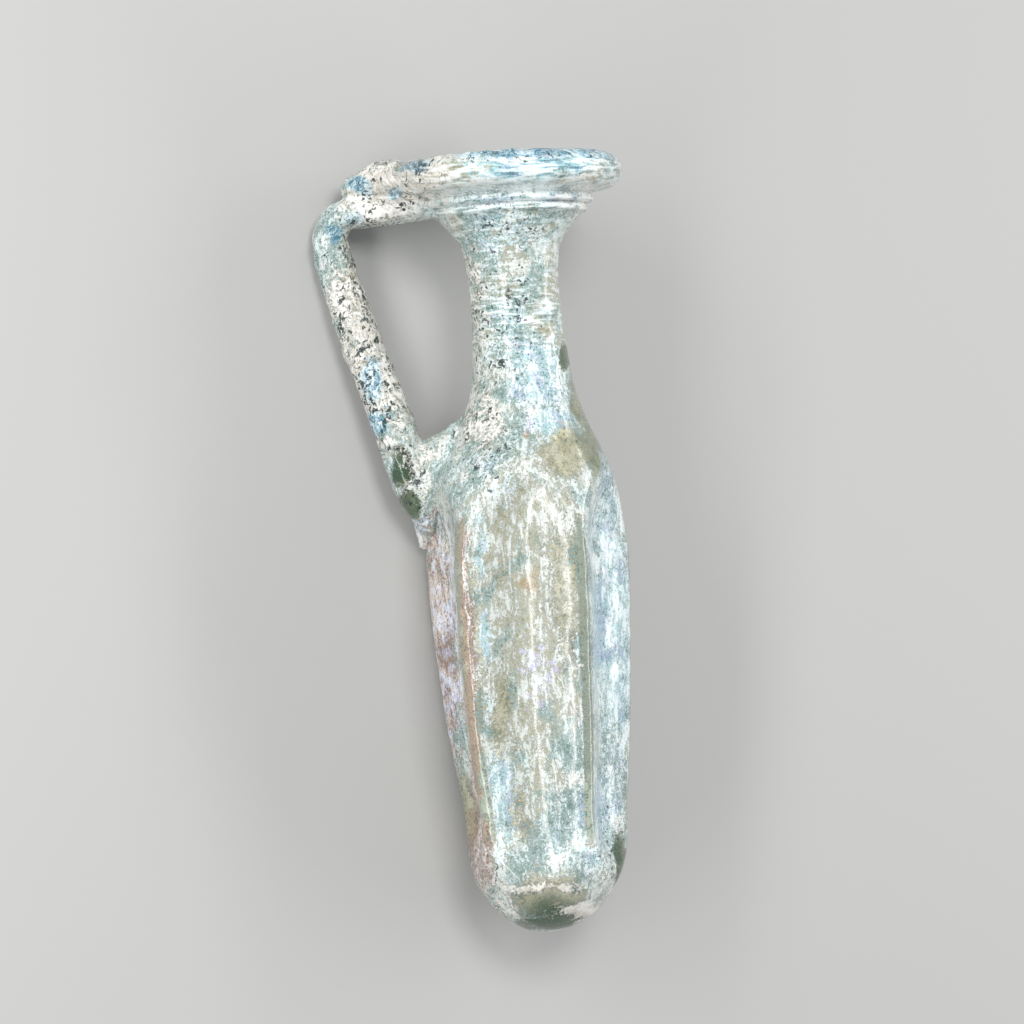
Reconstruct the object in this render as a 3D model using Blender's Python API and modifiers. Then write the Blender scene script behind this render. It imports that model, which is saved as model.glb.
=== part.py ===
"""Late Roman glass perfume flask with one handle, lying on its side.

The flask is modelled upright, with its base tip at the origin, its axis along +Z, its handle
towards -X and its front towards -Y. The lying pose is worked out at the end from the finished
solid: the flask is turned over until it rests on the handle, the rim and the body, which leaves
its mouth towards +Y. All sizes are in metres.
"""

import math

import bmesh
import bpy
from mathutils import Matrix, Vector

# Length from the base tip to the top of the rim, which drives the heights of the body and neck
FLASK_LENGTH = 0.1626

# Trailed ribs under the rim, and the rolled rim
LOWER_RIB_RADIUS = 0.0163
UPPER_RIB_RADIUS = 0.0178
RIB_HEIGHT = 0.0019
RIB_GROOVE_DEPTH = 0.0006
UNDERCUT_HEIGHT = 0.0010
RIM_ROLL_WIDTH = 0.0041
RIM_ROLL_HEIGHT = 0.0073

# Heights above the base tip
DOME_HEIGHT = 0.1476 * FLASK_LENGTH
MID_BODY_HEIGHT = 0.3075 * FLASK_LENGTH
WIDEST_HEIGHT = 0.4797 * FLASK_LENGTH
SHOULDER_HEIGHT = 0.5843 * FLASK_LENGTH
SHOULDER_FOOT_HEIGHT = 0.6519 * FLASK_LENGTH
NECK_FOOT_HEIGHT = 0.7134 * FLASK_LENGTH
NECK_HEIGHT = 0.8241 * FLASK_LENGTH
FLARE_HEIGHT = 0.8795 * FLASK_LENGTH
RIBS_HEIGHT = FLASK_LENGTH - RIM_ROLL_HEIGHT - UNDERCUT_HEIGHT - 2.0 * RIB_HEIGHT

# Outer radii at those heights
DOME_RADIUS = 0.0179
MID_BODY_RADIUS = 0.0210
WIDEST_RADIUS = 0.0225
SHOULDER_RADIUS = 0.0191
SHOULDER_FOOT_RADIUS = 0.0139
NECK_FOOT_RADIUS = 0.0106
NECK_RADIUS = 0.0094
FLARE_RADIUS = 0.0101
RIBS_RADIUS = 0.0152
RIM_RADIUS = 0.0243

# Glass thickness and mouth
BASE_THICKNESS = 0.0040
BODY_WALL = 0.0022
NECK_WALL = 0.0029
FUNNEL_WALL = 0.0035
MOUTH_RADIUS = 0.0180
MOUTH_EDGE_ROUND = 0.0016

# Dents pressed into the body, with azimuths from the front towards +X
DENT_COUNT = 5
FRONT_DENT_AZIMUTH = math.radians(-4.5)
LEFT_RIDGE_LEAN_TOP = math.radians(5.5)
LEFT_RIDGE_LEAN_BOTTOM = math.radians(-4.0)
DENT_DEPTH_SHARE = 0.30
DENT_TOP_HEIGHT = 0.5996 * FLASK_LENGTH
DENT_BOTTOM_HEIGHT = 0.0646 * FLASK_LENGTH
DENT_TOP_ARCH = 0.017
DENT_BOTTOM_ARCH = 0.014
RIDGE_ROUNDING = 0.22

# Handle: rod, bar under the rim, thumb rest folded back over it, and root on the shoulder
HANDLE_AZIMUTH = math.radians(-90.0)
HANDLE_ROD_RADIUS = 0.0045
HANDLE_REACH = 0.0417
HANDLE_FOOT_REACH = 0.0266
HANDLE_BOW = 0.0009
ELBOW_RADIUS = 0.0038
ELBOW_DROP = 0.0040
BAR_LIFT = 0.0022
BAR_RADIUS = 0.0031
BAR_RISE = 0.0014
BAR_WIDENING = 0.6
THUMB_REST_RADIUS = 0.0041
THUMB_REST_TIP_RADIUS = 0.0023
THUMB_REST_LENGTH = 0.0112
THUMB_REST_SINK = 0.0003
ROOT_RADIUS = 0.0047
ROOT_TAIL_HEIGHT = 0.082
ROOT_TAIL_RADIUS = 0.0013
ROOT_TAIL_AZIMUTH = math.radians(-107.0)

# The elbow is below the ribs and the bar lies against them
ELBOW_HEIGHT = RIBS_HEIGHT - ELBOW_DROP
BAR_HEIGHT = RIBS_HEIGHT + BAR_LIFT

# Depth of the flat spots on which it lies
FLAT_DEPTH = 0.0004

# Fineness of the faceted surfaces
SEGMENTS = 50
RIDGE_CROWDING = 0.5
TUBE_RESOLUTION = 4
MERGE_DISTANCE = 0.00001

# The blower's small bends of the axis: height and sideways drift towards +X
AXIS_DRIFT = [
    (0.0, 0.0005),
    (0.015, 0.0008),
    (0.060, -0.0003),
    (0.082, -0.0005),
    (0.116, 0.0008),
    (0.140, 0.0),
    (0.164, -0.0001),
]

SIDE_OUTLINE = [
    (DOME_HEIGHT, DOME_RADIUS),
    (MID_BODY_HEIGHT, MID_BODY_RADIUS),
    (WIDEST_HEIGHT, WIDEST_RADIUS),
    (SHOULDER_HEIGHT, SHOULDER_RADIUS),
    (SHOULDER_FOOT_HEIGHT, SHOULDER_FOOT_RADIUS),
    (NECK_FOOT_HEIGHT, NECK_FOOT_RADIUS),
    (NECK_HEIGHT, NECK_RADIUS),
    (FLARE_HEIGHT, FLARE_RADIUS),
    (RIBS_HEIGHT, RIBS_RADIUS),
]


def between(low, high, share):
    """Value at a share of the way from low to high."""
    return low + (high - low) * share


def spread(low, high, count):
    """Evenly spaced values from low to just before high."""
    return [between(low, high, step / count) for step in range(count)]


def smooth_step(value):
    """Ease from 0 to 1 for a value that goes from 0 to 1."""
    value = min(1.0, max(0.0, value))
    return value * value * (3.0 - 2.0 * value)


def smooth_through(stations, at):
    """Value at a place on a smooth curve through (place, value) stations, with no overshoot."""
    if at <= stations[0][0]:
        return stations[0][1]
    if at >= stations[-1][0]:
        return stations[-1][1]
    slopes = []
    for (place, value), (next_place, next_value) in zip(stations, stations[1:]):
        slopes.append((next_value - value) / (next_place - place))
    tangents = [slopes[0]]
    for before, after in zip(slopes, slopes[1:]):
        same_way = before * after > 0.0
        tangents.append(2.0 * before * after / (before + after) if same_way else 0.0)
    tangents.append(slopes[-1])
    for index, (place, value) in enumerate(stations[:-1]):
        next_place, next_value = stations[index + 1]
        if at <= next_place:
            span = next_place - place
            t = (at - place) / span
            bend = t * t * (3.0 - 2.0 * t)
            start_pull = t * (1.0 - t) ** 2 * span * tangents[index]
            end_pull = t * t * (t - 1.0) * span * tangents[index + 1]
            return between(value, next_value, bend) + start_pull + end_pull
    return stations[-1][1]


def outer_radius(height):
    """Radius of the undented outside, from the base tip to the ribs."""
    if height >= DOME_HEIGHT:
        return smooth_through(SIDE_OUTLINE, height)
    rise = 1.0 - height / DOME_HEIGHT
    return DOME_RADIUS * math.sqrt(max(0.0, 1.0 - rise * rise))


def wall_thickness(height):
    """Thickness of the glass, measured sideways, from the body up to the funnel."""
    stations = [
        (WIDEST_HEIGHT, BODY_WALL),
        (NECK_FOOT_HEIGHT, NECK_WALL),
        (NECK_HEIGHT, NECK_WALL),
        (RIBS_HEIGHT, FUNNEL_WALL),
    ]
    return smooth_through(stations, height)


def panel_azimuth(panel_angle, height):
    """Azimuth of a place given by its angle from the front dent, with the left ridge leaning."""
    share = (height - DENT_BOTTOM_HEIGHT) / (DENT_TOP_HEIGHT - DENT_BOTTOM_HEIGHT)
    lean = between(LEFT_RIDGE_LEAN_BOTTOM, LEFT_RIDGE_LEAN_TOP, smooth_step(share))
    pitch = 2.0 * math.pi / DENT_COUNT
    from_left_ridge = abs(panel_angle + pitch / 2.0) / pitch
    pull = math.cos(min(1.0, from_left_ridge) * math.pi / 2.0) ** 2
    return FRONT_DENT_AZIMUTH + panel_angle + lean * pull


def dent_press(panel_angle, height):
    """How far the dents press the body in at this place, from 0 on a ridge to 1."""
    pitch = 2.0 * math.pi / DENT_COUNT
    offset = (panel_angle + pitch / 2.0) % pitch - pitch / 2.0
    across = abs(offset) / (pitch / 2.0)
    above = (height - (DENT_TOP_HEIGHT - DENT_TOP_ARCH)) / DENT_TOP_ARCH
    below = (DENT_BOTTOM_HEIGHT + DENT_BOTTOM_ARCH - height) / DENT_BOTTOM_ARCH
    along = max(0.0, above, below)
    reach = min(1.0, math.hypot(across, along))
    slope = math.cos(reach * math.pi / 2.0)
    full = math.hypot(1.0, RIDGE_ROUNDING) - RIDGE_ROUNDING
    return (math.hypot(slope, RIDGE_ROUNDING) - RIDGE_ROUNDING) / full


def dent_depth(panel_angle, height):
    """Depth of the dents below the undented outside."""
    return dent_press(panel_angle, height) * DENT_DEPTH_SHARE * outer_radius(height)


def dent_stretch(panel_angle, height):
    """Extra sideways thickness that keeps a dent's slanting sides as thick as the wall."""
    step = math.radians(0.5)
    rise = dent_depth(panel_angle + step, height) - dent_depth(panel_angle - step, height)
    slope = rise / (2.0 * step * max(outer_radius(height), BODY_WALL))
    return BODY_WALL * (math.hypot(1.0, slope) - 1.0)


def on_flask(azimuth, radius, height):
    """Point at an azimuth and radius around the flask's axis."""
    sideways = smooth_through(AXIS_DRIFT, height)
    return Vector((sideways + radius * math.sin(azimuth), -radius * math.cos(azimuth), height))


def crowd_to_ridges(panel_angle, height):
    """Turn an even spacing of angles into one that is finer on the ridges."""
    inside = (height - DENT_BOTTOM_HEIGHT) / DENT_BOTTOM_ARCH
    inside = min(inside, (DENT_TOP_HEIGHT - height) / DENT_TOP_ARCH)
    swing = RIDGE_CROWDING * smooth_step(inside)
    return panel_angle + swing * math.sin(DENT_COUNT * panel_angle) / DENT_COUNT


def new_collection(name):
    """Add a collection to the scene."""
    collection = bpy.data.collections.new(name)
    bpy.context.scene.collection.children.link(collection)
    return collection


def add_object(name, data, collection):
    """Put an object with this data in a collection."""
    added = bpy.data.objects.new(name, data)
    collection.objects.link(added)
    return added


def evaluated_mesh(source):
    """Mesh of an object with its modifiers applied."""
    bpy.context.view_layer.update()
    depsgraph = bpy.context.evaluated_depsgraph_get()
    return bpy.data.meshes.new_from_object(source.evaluated_get(depsgraph))


def turned_mesh(name, profile, collection):
    """Closed mesh turned from a profile of (radius, height) points, top to bottom."""
    outline = bpy.data.meshes.new(name)
    points = [(radius, 0.0, height) for radius, height in profile]
    edges = [(index, index + 1) for index in range(len(points) - 1)]
    outline.from_pydata(points, edges, [])
    lathe = add_object(name, outline, collection)
    screw = lathe.modifiers.new("turn", "SCREW")
    screw.angle = 2.0 * math.pi
    screw.steps = SEGMENTS
    screw.render_steps = SEGMENTS
    screw.use_merge_vertices = True
    screw.merge_threshold = MERGE_DISTANCE
    mesh = evaluated_mesh(lathe)
    bpy.data.objects.remove(lathe)
    bpy.data.meshes.remove(outline)
    return mesh


def press_vertices(mesh, extra):
    """Press the dents into a turned mesh; extra(panel_angle, height) deepens them."""
    for vertex in mesh.vertices:
        x, y, height = vertex.co
        radius = math.hypot(x, y)
        panel_angle = crowd_to_ridges(math.atan2(x, -y), height)
        pressed = radius - dent_depth(panel_angle, height) - extra(panel_angle, height)
        vertex.co = on_flask(panel_azimuth(panel_angle, height), max(0.0, pressed), height)


def rim_outline():
    """Rolled rim from the middle of its top, round its outside, to the upper rib."""
    middle_radius = RIM_RADIUS - RIM_ROLL_WIDTH
    middle_height = FLASK_LENGTH - RIM_ROLL_HEIGHT / 2.0
    points = [(0.0, FLASK_LENGTH)]
    for angle in spread(math.pi / 2.0, -math.pi / 2.0, 8):
        radius = middle_radius + RIM_ROLL_WIDTH * math.cos(angle)
        points.append((radius, middle_height + RIM_ROLL_HEIGHT / 2.0 * math.sin(angle)))
    return points


def rib_outline(foot, radius):
    """One trailed rib, top to bottom, standing on a height."""
    head = foot + RIB_HEIGHT
    return [
        (radius - RIB_GROOVE_DEPTH, head),
        (radius, between(foot, head, 0.75)),
        (radius, between(foot, head, 0.25)),
    ]


def outside_outline():
    """Outside of the vessel as (radius, height) points, from the top to the base tip."""
    profile = rim_outline()
    profile += rib_outline(RIBS_HEIGHT + RIB_HEIGHT, UPPER_RIB_RADIUS)
    profile += rib_outline(RIBS_HEIGHT, LOWER_RIB_RADIUS)
    heights = spread(RIBS_HEIGHT, FLARE_HEIGHT, 4)
    heights += spread(FLARE_HEIGHT, NECK_FOOT_HEIGHT, 4)
    heights += spread(NECK_FOOT_HEIGHT, DENT_TOP_HEIGHT, 5)
    heights += spread(DENT_TOP_HEIGHT, DENT_TOP_HEIGHT - DENT_TOP_ARCH, 6)
    dome_top = DENT_BOTTOM_HEIGHT + DENT_BOTTOM_ARCH
    heights += spread(DENT_TOP_HEIGHT - DENT_TOP_ARCH, dome_top, 6)
    heights += spread(dome_top, DENT_BOTTOM_HEIGHT, 5)
    profile += [(outer_radius(height), height) for height in heights]
    for angle in spread(math.asin(1.0 - DENT_BOTTOM_HEIGHT / DOME_HEIGHT), math.pi / 2.0, 5):
        height = DOME_HEIGHT * (1.0 - math.sin(angle))
        profile.append((outer_radius(height), height))
    profile.append((0.0, 0.0))
    return profile


def cavity_radius(height):
    """Radius of the undented inside, from the bottom of the cavity to the ribs."""
    if height >= DOME_HEIGHT:
        return outer_radius(height) - wall_thickness(height)
    rise = (DOME_HEIGHT - height) / (DOME_HEIGHT - BASE_THICKNESS)
    return (DOME_RADIUS - BODY_WALL) * math.sqrt(max(0.0, 1.0 - rise * rise))


def cavity_outline():
    """Inside of the vessel as (radius, height) points, from above the mouth to the bottom."""
    clear_of_top = FLASK_LENGTH + RIM_ROLL_HEIGHT
    edge_height = FLASK_LENGTH - MOUTH_EDGE_ROUND
    profile = [(0.0, clear_of_top), (MOUTH_RADIUS + 2.0 * MOUTH_EDGE_ROUND, clear_of_top)]
    profile.append((MOUTH_RADIUS + 2.0 * MOUTH_EDGE_ROUND, FLASK_LENGTH + MOUTH_EDGE_ROUND / 2.0))
    profile.append((MOUTH_RADIUS + MOUTH_EDGE_ROUND / 2.0, FLASK_LENGTH - MOUTH_EDGE_ROUND / 2.0))
    funnel_foot = outer_radius(RIBS_HEIGHT) - FUNNEL_WALL
    for share in spread(0.0, 1.0, 5):
        radius = between(funnel_foot, MOUTH_RADIUS, math.cos(share * math.pi / 2.0))
        profile.append((radius, between(edge_height, RIBS_HEIGHT, share)))
    heights = spread(RIBS_HEIGHT, FLARE_HEIGHT, 3)
    heights += spread(FLARE_HEIGHT, NECK_FOOT_HEIGHT, 3)
    heights += spread(NECK_FOOT_HEIGHT, DENT_TOP_HEIGHT, 3)
    heights += spread(DENT_TOP_HEIGHT, DENT_TOP_HEIGHT - DENT_TOP_ARCH, 4)
    dome_top = DENT_BOTTOM_HEIGHT + DENT_BOTTOM_ARCH
    heights += spread(DENT_TOP_HEIGHT - DENT_TOP_ARCH, dome_top, 5)
    heights += spread(dome_top, DENT_BOTTOM_HEIGHT, 3)
    heights += [between(BASE_THICKNESS, DENT_BOTTOM_HEIGHT, share) for share in (0.5, 0.12)]
    profile += [(cavity_radius(height), height) for height in heights]
    profile.append((0.0, BASE_THICKNESS))
    return profile


def smooth_path(points, steps):
    """Points along a smooth curve through (position, radius) points."""
    places = list(range(len(points)))
    path = []
    for step in range((len(points) - 1) * steps + 1):
        at = step / steps
        position = Vector((0.0, 0.0, 0.0))
        for axis in range(3):
            stations = [(place, points[place][0][axis]) for place in places]
            position[axis] = smooth_through(stations, at)
        radius = smooth_through([(place, points[place][1]) for place in places], at)
        path.append((position, radius))
    return path


def tube(name, points, steps, collection):
    """Closed mesh object of a rod along (position, radius) points."""
    path = smooth_path(points, steps)
    curve = bpy.data.curves.new(name, "CURVE")
    curve.dimensions = "3D"
    curve.bevel_depth = 1.0
    curve.bevel_resolution = TUBE_RESOLUTION
    curve.use_fill_caps = True
    spline = curve.splines.new("POLY")
    spline.points.add(len(path) - 1)
    for point, (position, radius) in zip(spline.points, path):
        point.co = (*position, 1.0)
        point.radius = radius
    guide = add_object(name, curve, collection)
    mesh = evaluated_mesh(guide)
    welded = bmesh.new()
    welded.from_mesh(mesh)
    bmesh.ops.remove_doubles(welded, verts=welded.verts, dist=MERGE_DISTANCE)
    bmesh.ops.recalc_face_normals(welded, faces=welded.faces)
    welded.to_mesh(mesh)
    welded.free()
    rod = add_object(name + "_solid", mesh, collection)
    bpy.data.objects.remove(guide)
    bpy.data.curves.remove(curve)
    return rod


def widen_upper_handle(mesh):
    """Widen the part of the handle above the elbow, which was pressed flat on the rim."""
    for vertex in mesh.vertices:
        above = (vertex.co.z - ELBOW_HEIGHT) / (BAR_HEIGHT - ELBOW_HEIGHT)
        vertex.co.y *= 1.0 + BAR_WIDENING * smooth_step(above)


def rod_reach(height):
    """Distance of the nearly straight rod's centre line from the flask's axis."""
    share = (height - SHOULDER_FOOT_HEIGHT) / (ELBOW_HEIGHT - SHOULDER_FOOT_HEIGHT)
    bow = HANDLE_BOW * 4.0 * share * (1.0 - share) if share > 0.0 else 0.0
    return between(HANDLE_FOOT_REACH, HANDLE_REACH - ELBOW_RADIUS, share) + bow


def handle_rod(collection):
    """Rod from the shoulder to the elbow, and on as a bar to the underside of the rim."""
    elbow = HANDLE_REACH - ELBOW_RADIUS
    rim_end = RIBS_RADIUS - BAR_RADIUS / 2.0
    foot_height = between(ROOT_TAIL_HEIGHT, SHOULDER_HEIGHT, 0.25)
    foot_reach = outer_radius(foot_height) - ROOT_TAIL_RADIUS
    places = [(foot_reach, foot_height, 0.45 * HANDLE_ROD_RADIUS, 0.65)]
    foot_steps = [(0.35, 0.85, 0.3, 0.3), (0.62, 1.0, 0.1, 0.08), (1.0, 1.0, 0.0, 0.0)]
    for share, radius, turn, pull in foot_steps:
        height = between(ROOT_TAIL_HEIGHT, SHOULDER_FOOT_HEIGHT, share)
        out = rod_reach(height) - pull * HANDLE_ROD_RADIUS
        places.append((out, height, radius * HANDLE_ROD_RADIUS, turn))
    for share, radius in ((0.45, 0.98), (0.82, 0.93)):
        height = between(SHOULDER_FOOT_HEIGHT, ELBOW_HEIGHT, share)
        places.append((rod_reach(height), height, radius * HANDLE_ROD_RADIUS, 0.0))
    for back, share, thinning in ((0.0, 0.0, 0.0), (0.3, 0.66, 0.3), (1.2, 0.97, 0.85)):
        height = between(ELBOW_HEIGHT, BAR_HEIGHT, share)
        radius = between(ELBOW_RADIUS, BAR_RADIUS, thinning)
        places.append((elbow - back * ELBOW_RADIUS, height, radius, 0.0))
    places += [
        (between(elbow, rim_end, 0.42), BAR_HEIGHT, BAR_RADIUS, 0.0),
        (rim_end, BAR_HEIGHT + BAR_RISE, BAR_RADIUS, 0.0),
    ]
    points = []
    for out, height, radius, turn in places:
        azimuth = between(HANDLE_AZIMUTH, ROOT_TAIL_AZIMUTH, turn)
        points.append((on_flask(azimuth, out, height), radius))
    return tube("handle_rod", points, 3, collection)


def thumb_rest(collection):
    """End of the rod folded back on the bar and pressed to the rim."""
    lie_height = BAR_HEIGHT + BAR_RADIUS - THUMB_REST_SINK
    start = RIM_RADIUS - RIM_ROLL_WIDTH / 2.0
    tip = start + THUMB_REST_LENGTH
    places = [
        (start, THUMB_REST_RADIUS, THUMB_REST_RADIUS),
        (between(start, tip, 0.3), THUMB_REST_RADIUS, THUMB_REST_RADIUS),
        (between(start, tip, 0.7), 0.75 * THUMB_REST_RADIUS, 0.75 * THUMB_REST_RADIUS),
        (tip, THUMB_REST_TIP_RADIUS, THUMB_REST_TIP_RADIUS),
        (tip + 0.8 * THUMB_REST_TIP_RADIUS, THUMB_REST_TIP_RADIUS, 0.6 * THUMB_REST_TIP_RADIUS),
    ]
    points = []
    for out, lift, radius in places:
        points.append((on_flask(HANDLE_AZIMUTH, out, lie_height + lift), radius))
    return tube("thumb_rest", points, 2, collection)


def handle_root(collection):
    """Blob that joins the rod to the shoulder and drags down a ridge to a thin tail."""
    root_top = between(SHOULDER_HEIGHT, SHOULDER_FOOT_HEIGHT, 0.62)
    places = [
        (-0.9 * ROOT_RADIUS, root_top + 1.2 * ROOT_RADIUS, 0.7 * ROOT_RADIUS, 0.0),
        (0.0, root_top, 0.9 * ROOT_RADIUS, 0.0),
        (0.15 * ROOT_RADIUS, between(root_top, ROOT_TAIL_HEIGHT, 0.25), ROOT_RADIUS, 0.15),
        (0.0, between(root_top, ROOT_TAIL_HEIGHT, 0.55), 0.85 * ROOT_RADIUS, 0.45),
        (-0.3 * ROOT_TAIL_RADIUS, between(root_top, ROOT_TAIL_HEIGHT, 0.82), 0.5 * ROOT_RADIUS, 0.85),
        (-0.3 * ROOT_TAIL_RADIUS, ROOT_TAIL_HEIGHT, ROOT_TAIL_RADIUS, 1.0),
    ]
    points = []
    for proud, height, radius, turn in places:
        azimuth = between(HANDLE_AZIMUTH, ROOT_TAIL_AZIMUTH, turn)
        points.append((on_flask(azimuth, outer_radius(height) + proud, height), radius))
    return tube("handle_root", points, 3, collection)


def add_boolean(target, tool, operation):
    """Join a tool object to the target, or cut it out."""
    boolean = target.modifiers.new(tool.name, "BOOLEAN")
    boolean.object = tool
    boolean.operation = operation
    boolean.solver = "EXACT"
    boolean.use_self = operation == "UNION"


def centre_of_mass(solid):
    """Centre of the volume that a closed triangulated bmesh encloses."""
    weighted = Vector((0.0, 0.0, 0.0))
    volume = 0.0
    for face in solid.faces:
        a, b, c = (vertex.co for vertex in face.verts)
        share = a.dot(b.cross(c))
        weighted += (a + b + c) * (share / 4.0)
        volume += share
    return weighted / volume


def rests_inside(face, normal, centre):
    """Whether the centre of mass is over the face that the solid would lie on."""
    for loop in face.loops:
        edge = loop.link_loop_next.vert.co - loop.vert.co
        if edge.cross(centre - loop.vert.co).dot(normal) < 0.0:
            return False
    return True


def lying_matrix(mesh):
    """Turn that lays the solid on the side where its handle reaches the ground."""
    solid = bmesh.new()
    solid.from_mesh(mesh)
    bmesh.ops.triangulate(solid, faces=solid.faces)
    centre = centre_of_mass(solid)
    hull = bmesh.ops.convex_hull(solid, input=solid.verts, use_existing_faces=False)
    faces = [item for item in hull["geom"] if isinstance(item, bmesh.types.BMFace)]
    lean = math.radians(30.0)
    wanted_down = Vector((-math.sin(lean), math.cos(lean), 0.0))
    down = None
    for face in faces:
        normal = face.normal.copy()
        if normal.dot(face.calc_center_median() - centre) < 0.0:
            normal.negate()
        if normal.dot(wanted_down) > 0.8 and rests_inside(face, normal, centre):
            if down is None or normal.dot(wanted_down) > down.dot(wanted_down):
                down = normal
    solid.free()
    long_axis = Vector((0.0, 0.0, 1.0))
    forward = (long_axis - down * long_axis.dot(down)).normalized()
    side = forward.cross(-down)
    return Matrix((side, forward, -down)).to_4x4()


def lowest_and_middle(mesh, turn):
    """Lowest height and middle of the box of a mesh after a turn."""
    turned = [turn @ vertex.co for vertex in mesh.vertices]
    lows = Vector([min(point[axis] for point in turned) for axis in range(3)])
    highs = Vector([max(point[axis] for point in turned) for axis in range(3)])
    return lows, (lows + highs) / 2.0


def glass_material():
    """Pale blue-green weathered glass."""
    glass = bpy.data.materials.new("weathered_glass")
    glass.use_nodes = True
    shader = glass.node_tree.nodes["Principled BSDF"]
    shader.inputs["Base Color"].default_value = (0.62, 0.74, 0.70, 1.0)
    shader.inputs["Roughness"].default_value = 0.3
    shader.inputs["Metallic"].default_value = 0.0
    shader.inputs["Transmission Weight"].default_value = 0.6
    shader.inputs["IOR"].default_value = 1.5
    return glass


def build():
    """Model the flask and lay it down."""
    for leftover in list(bpy.data.objects):
        bpy.data.objects.remove(leftover)
    parts = new_collection("perfume_flask")
    cutters = new_collection("cutters")

    body = turned_mesh("vessel_outside", outside_outline(), cutters)
    press_vertices(body, lambda azimuth, height: 0.0)
    flask = add_object("flask", body, parts)
    flask.data.materials.append(glass_material())

    inside = turned_mesh("cavity", cavity_outline(), cutters)
    press_vertices(inside, dent_stretch)
    cavity = add_object("cavity", inside, cutters)

    rod = handle_rod(cutters)
    rest = thumb_rest(cutters)
    root = handle_root(cutters)
    widen_upper_handle(rod.data)
    widen_upper_handle(rest.data)
    for joined in (root, rod, rest):
        add_boolean(flask, joined, "UNION")
    add_boolean(flask, cavity, "DIFFERENCE")

    whole = evaluated_mesh(flask)
    turn = lying_matrix(whole)
    lows, middle = lowest_and_middle(whole, turn)
    bpy.data.meshes.remove(whole)
    pose = add_object("lying_pose", None, parts)
    pose.matrix_world = Matrix.Translation((-middle.x, -middle.y, -lows.z - FLAT_DEPTH)) @ turn
    for held in (flask, cavity, root, rod, rest):
        held.parent = pose

    bpy.ops.mesh.primitive_cube_add(size=2.0 * FLASK_LENGTH, location=(0.0, 0.0, -FLASK_LENGTH))
    ground = bpy.context.active_object
    ground.name = "ground"
    for collection in list(ground.users_collection):
        collection.objects.unlink(ground)
    cutters.objects.link(ground)
    add_boolean(flask, ground, "DIFFERENCE")
    for helper in cutters.objects:
        helper.hide_render = True
        helper.display_type = "WIRE"
    for polygon in flask.data.polygons:
        polygon.use_smooth = True
    flask.data.set_sharp_from_angle(angle=math.radians(40.0))


build()
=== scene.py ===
"""Looks of the late Roman glass perfume flask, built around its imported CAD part.

The flask is one piece of glass: a blown vessel with five pressed panels, and a handle of drawn
glass fused to its shoulder and rim. Its mesh is modelled upright, with the base tip at the
origin, the axis along +Z, the handle towards -X and the front towards -Y, and its object is laid
down to where the CAD part lies. Sizes are in metres unless a name says otherwise.
"""

import math
import random

import bmesh
import bpy
import numpy as np
from mathutils import Matrix, Vector, noise


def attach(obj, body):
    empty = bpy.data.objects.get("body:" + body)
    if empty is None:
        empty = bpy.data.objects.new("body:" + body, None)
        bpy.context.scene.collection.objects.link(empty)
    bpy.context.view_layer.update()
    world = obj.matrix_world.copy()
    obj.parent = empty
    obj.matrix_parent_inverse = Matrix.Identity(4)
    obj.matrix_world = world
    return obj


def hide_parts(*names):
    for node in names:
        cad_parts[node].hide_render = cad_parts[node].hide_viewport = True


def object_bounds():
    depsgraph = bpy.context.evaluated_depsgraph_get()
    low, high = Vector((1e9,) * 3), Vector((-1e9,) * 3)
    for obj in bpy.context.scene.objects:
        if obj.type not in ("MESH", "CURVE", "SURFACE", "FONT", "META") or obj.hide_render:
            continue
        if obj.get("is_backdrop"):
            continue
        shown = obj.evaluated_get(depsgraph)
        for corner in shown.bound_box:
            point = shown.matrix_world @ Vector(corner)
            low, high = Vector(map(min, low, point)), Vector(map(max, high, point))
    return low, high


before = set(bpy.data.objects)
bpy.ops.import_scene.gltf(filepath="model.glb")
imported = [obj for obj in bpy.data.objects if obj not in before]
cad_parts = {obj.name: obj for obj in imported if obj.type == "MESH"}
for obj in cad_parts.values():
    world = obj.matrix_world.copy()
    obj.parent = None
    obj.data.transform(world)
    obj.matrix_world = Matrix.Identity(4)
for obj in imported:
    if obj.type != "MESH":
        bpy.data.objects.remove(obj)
cad_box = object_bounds()

# ---- Sizes of the CAD part, which this piece keeps ----

FLASK_LENGTH = 0.1626
LOWER_RIB_RADIUS = 0.0163
UPPER_RIB_RADIUS = 0.0178
RIB_HEIGHT = 0.0019
RIB_GROOVE_DEPTH = 0.0006
UNDERCUT_HEIGHT = 0.0010
RIM_ROLL_WIDTH = 0.0041
RIM_ROLL_HEIGHT = 0.0073
RIM_RADIUS = 0.0243

DOME_HEIGHT = 0.1476 * FLASK_LENGTH
DENT_TOP_HEIGHT = 0.5996 * FLASK_LENGTH
DENT_BOTTOM_HEIGHT = 0.0646 * FLASK_LENGTH
SHOULDER_HEIGHT = 0.5843 * FLASK_LENGTH
SHOULDER_FOOT_HEIGHT = 0.6519 * FLASK_LENGTH
NECK_FOOT_HEIGHT = 0.7134 * FLASK_LENGTH
NECK_HEIGHT = 0.8241 * FLASK_LENGTH
FLARE_HEIGHT = 0.8795 * FLASK_LENGTH
RIBS_HEIGHT = FLASK_LENGTH - RIM_ROLL_HEIGHT - UNDERCUT_HEIGHT - 2.0 * RIB_HEIGHT
RIBS_RADIUS = 0.0152
DOME_RADIUS = 0.0179

SIDE_OUTLINE = [
    (DOME_HEIGHT, DOME_RADIUS),
    (0.3075 * FLASK_LENGTH, 0.0210),
    (0.4797 * FLASK_LENGTH, 0.0225),
    (SHOULDER_HEIGHT, 0.0191),
    (SHOULDER_FOOT_HEIGHT, 0.0139),
    (NECK_FOOT_HEIGHT, 0.0106),
    (NECK_HEIGHT, 0.0094),
    (FLARE_HEIGHT, 0.0101),
    (RIBS_HEIGHT, RIBS_RADIUS),
]

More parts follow.
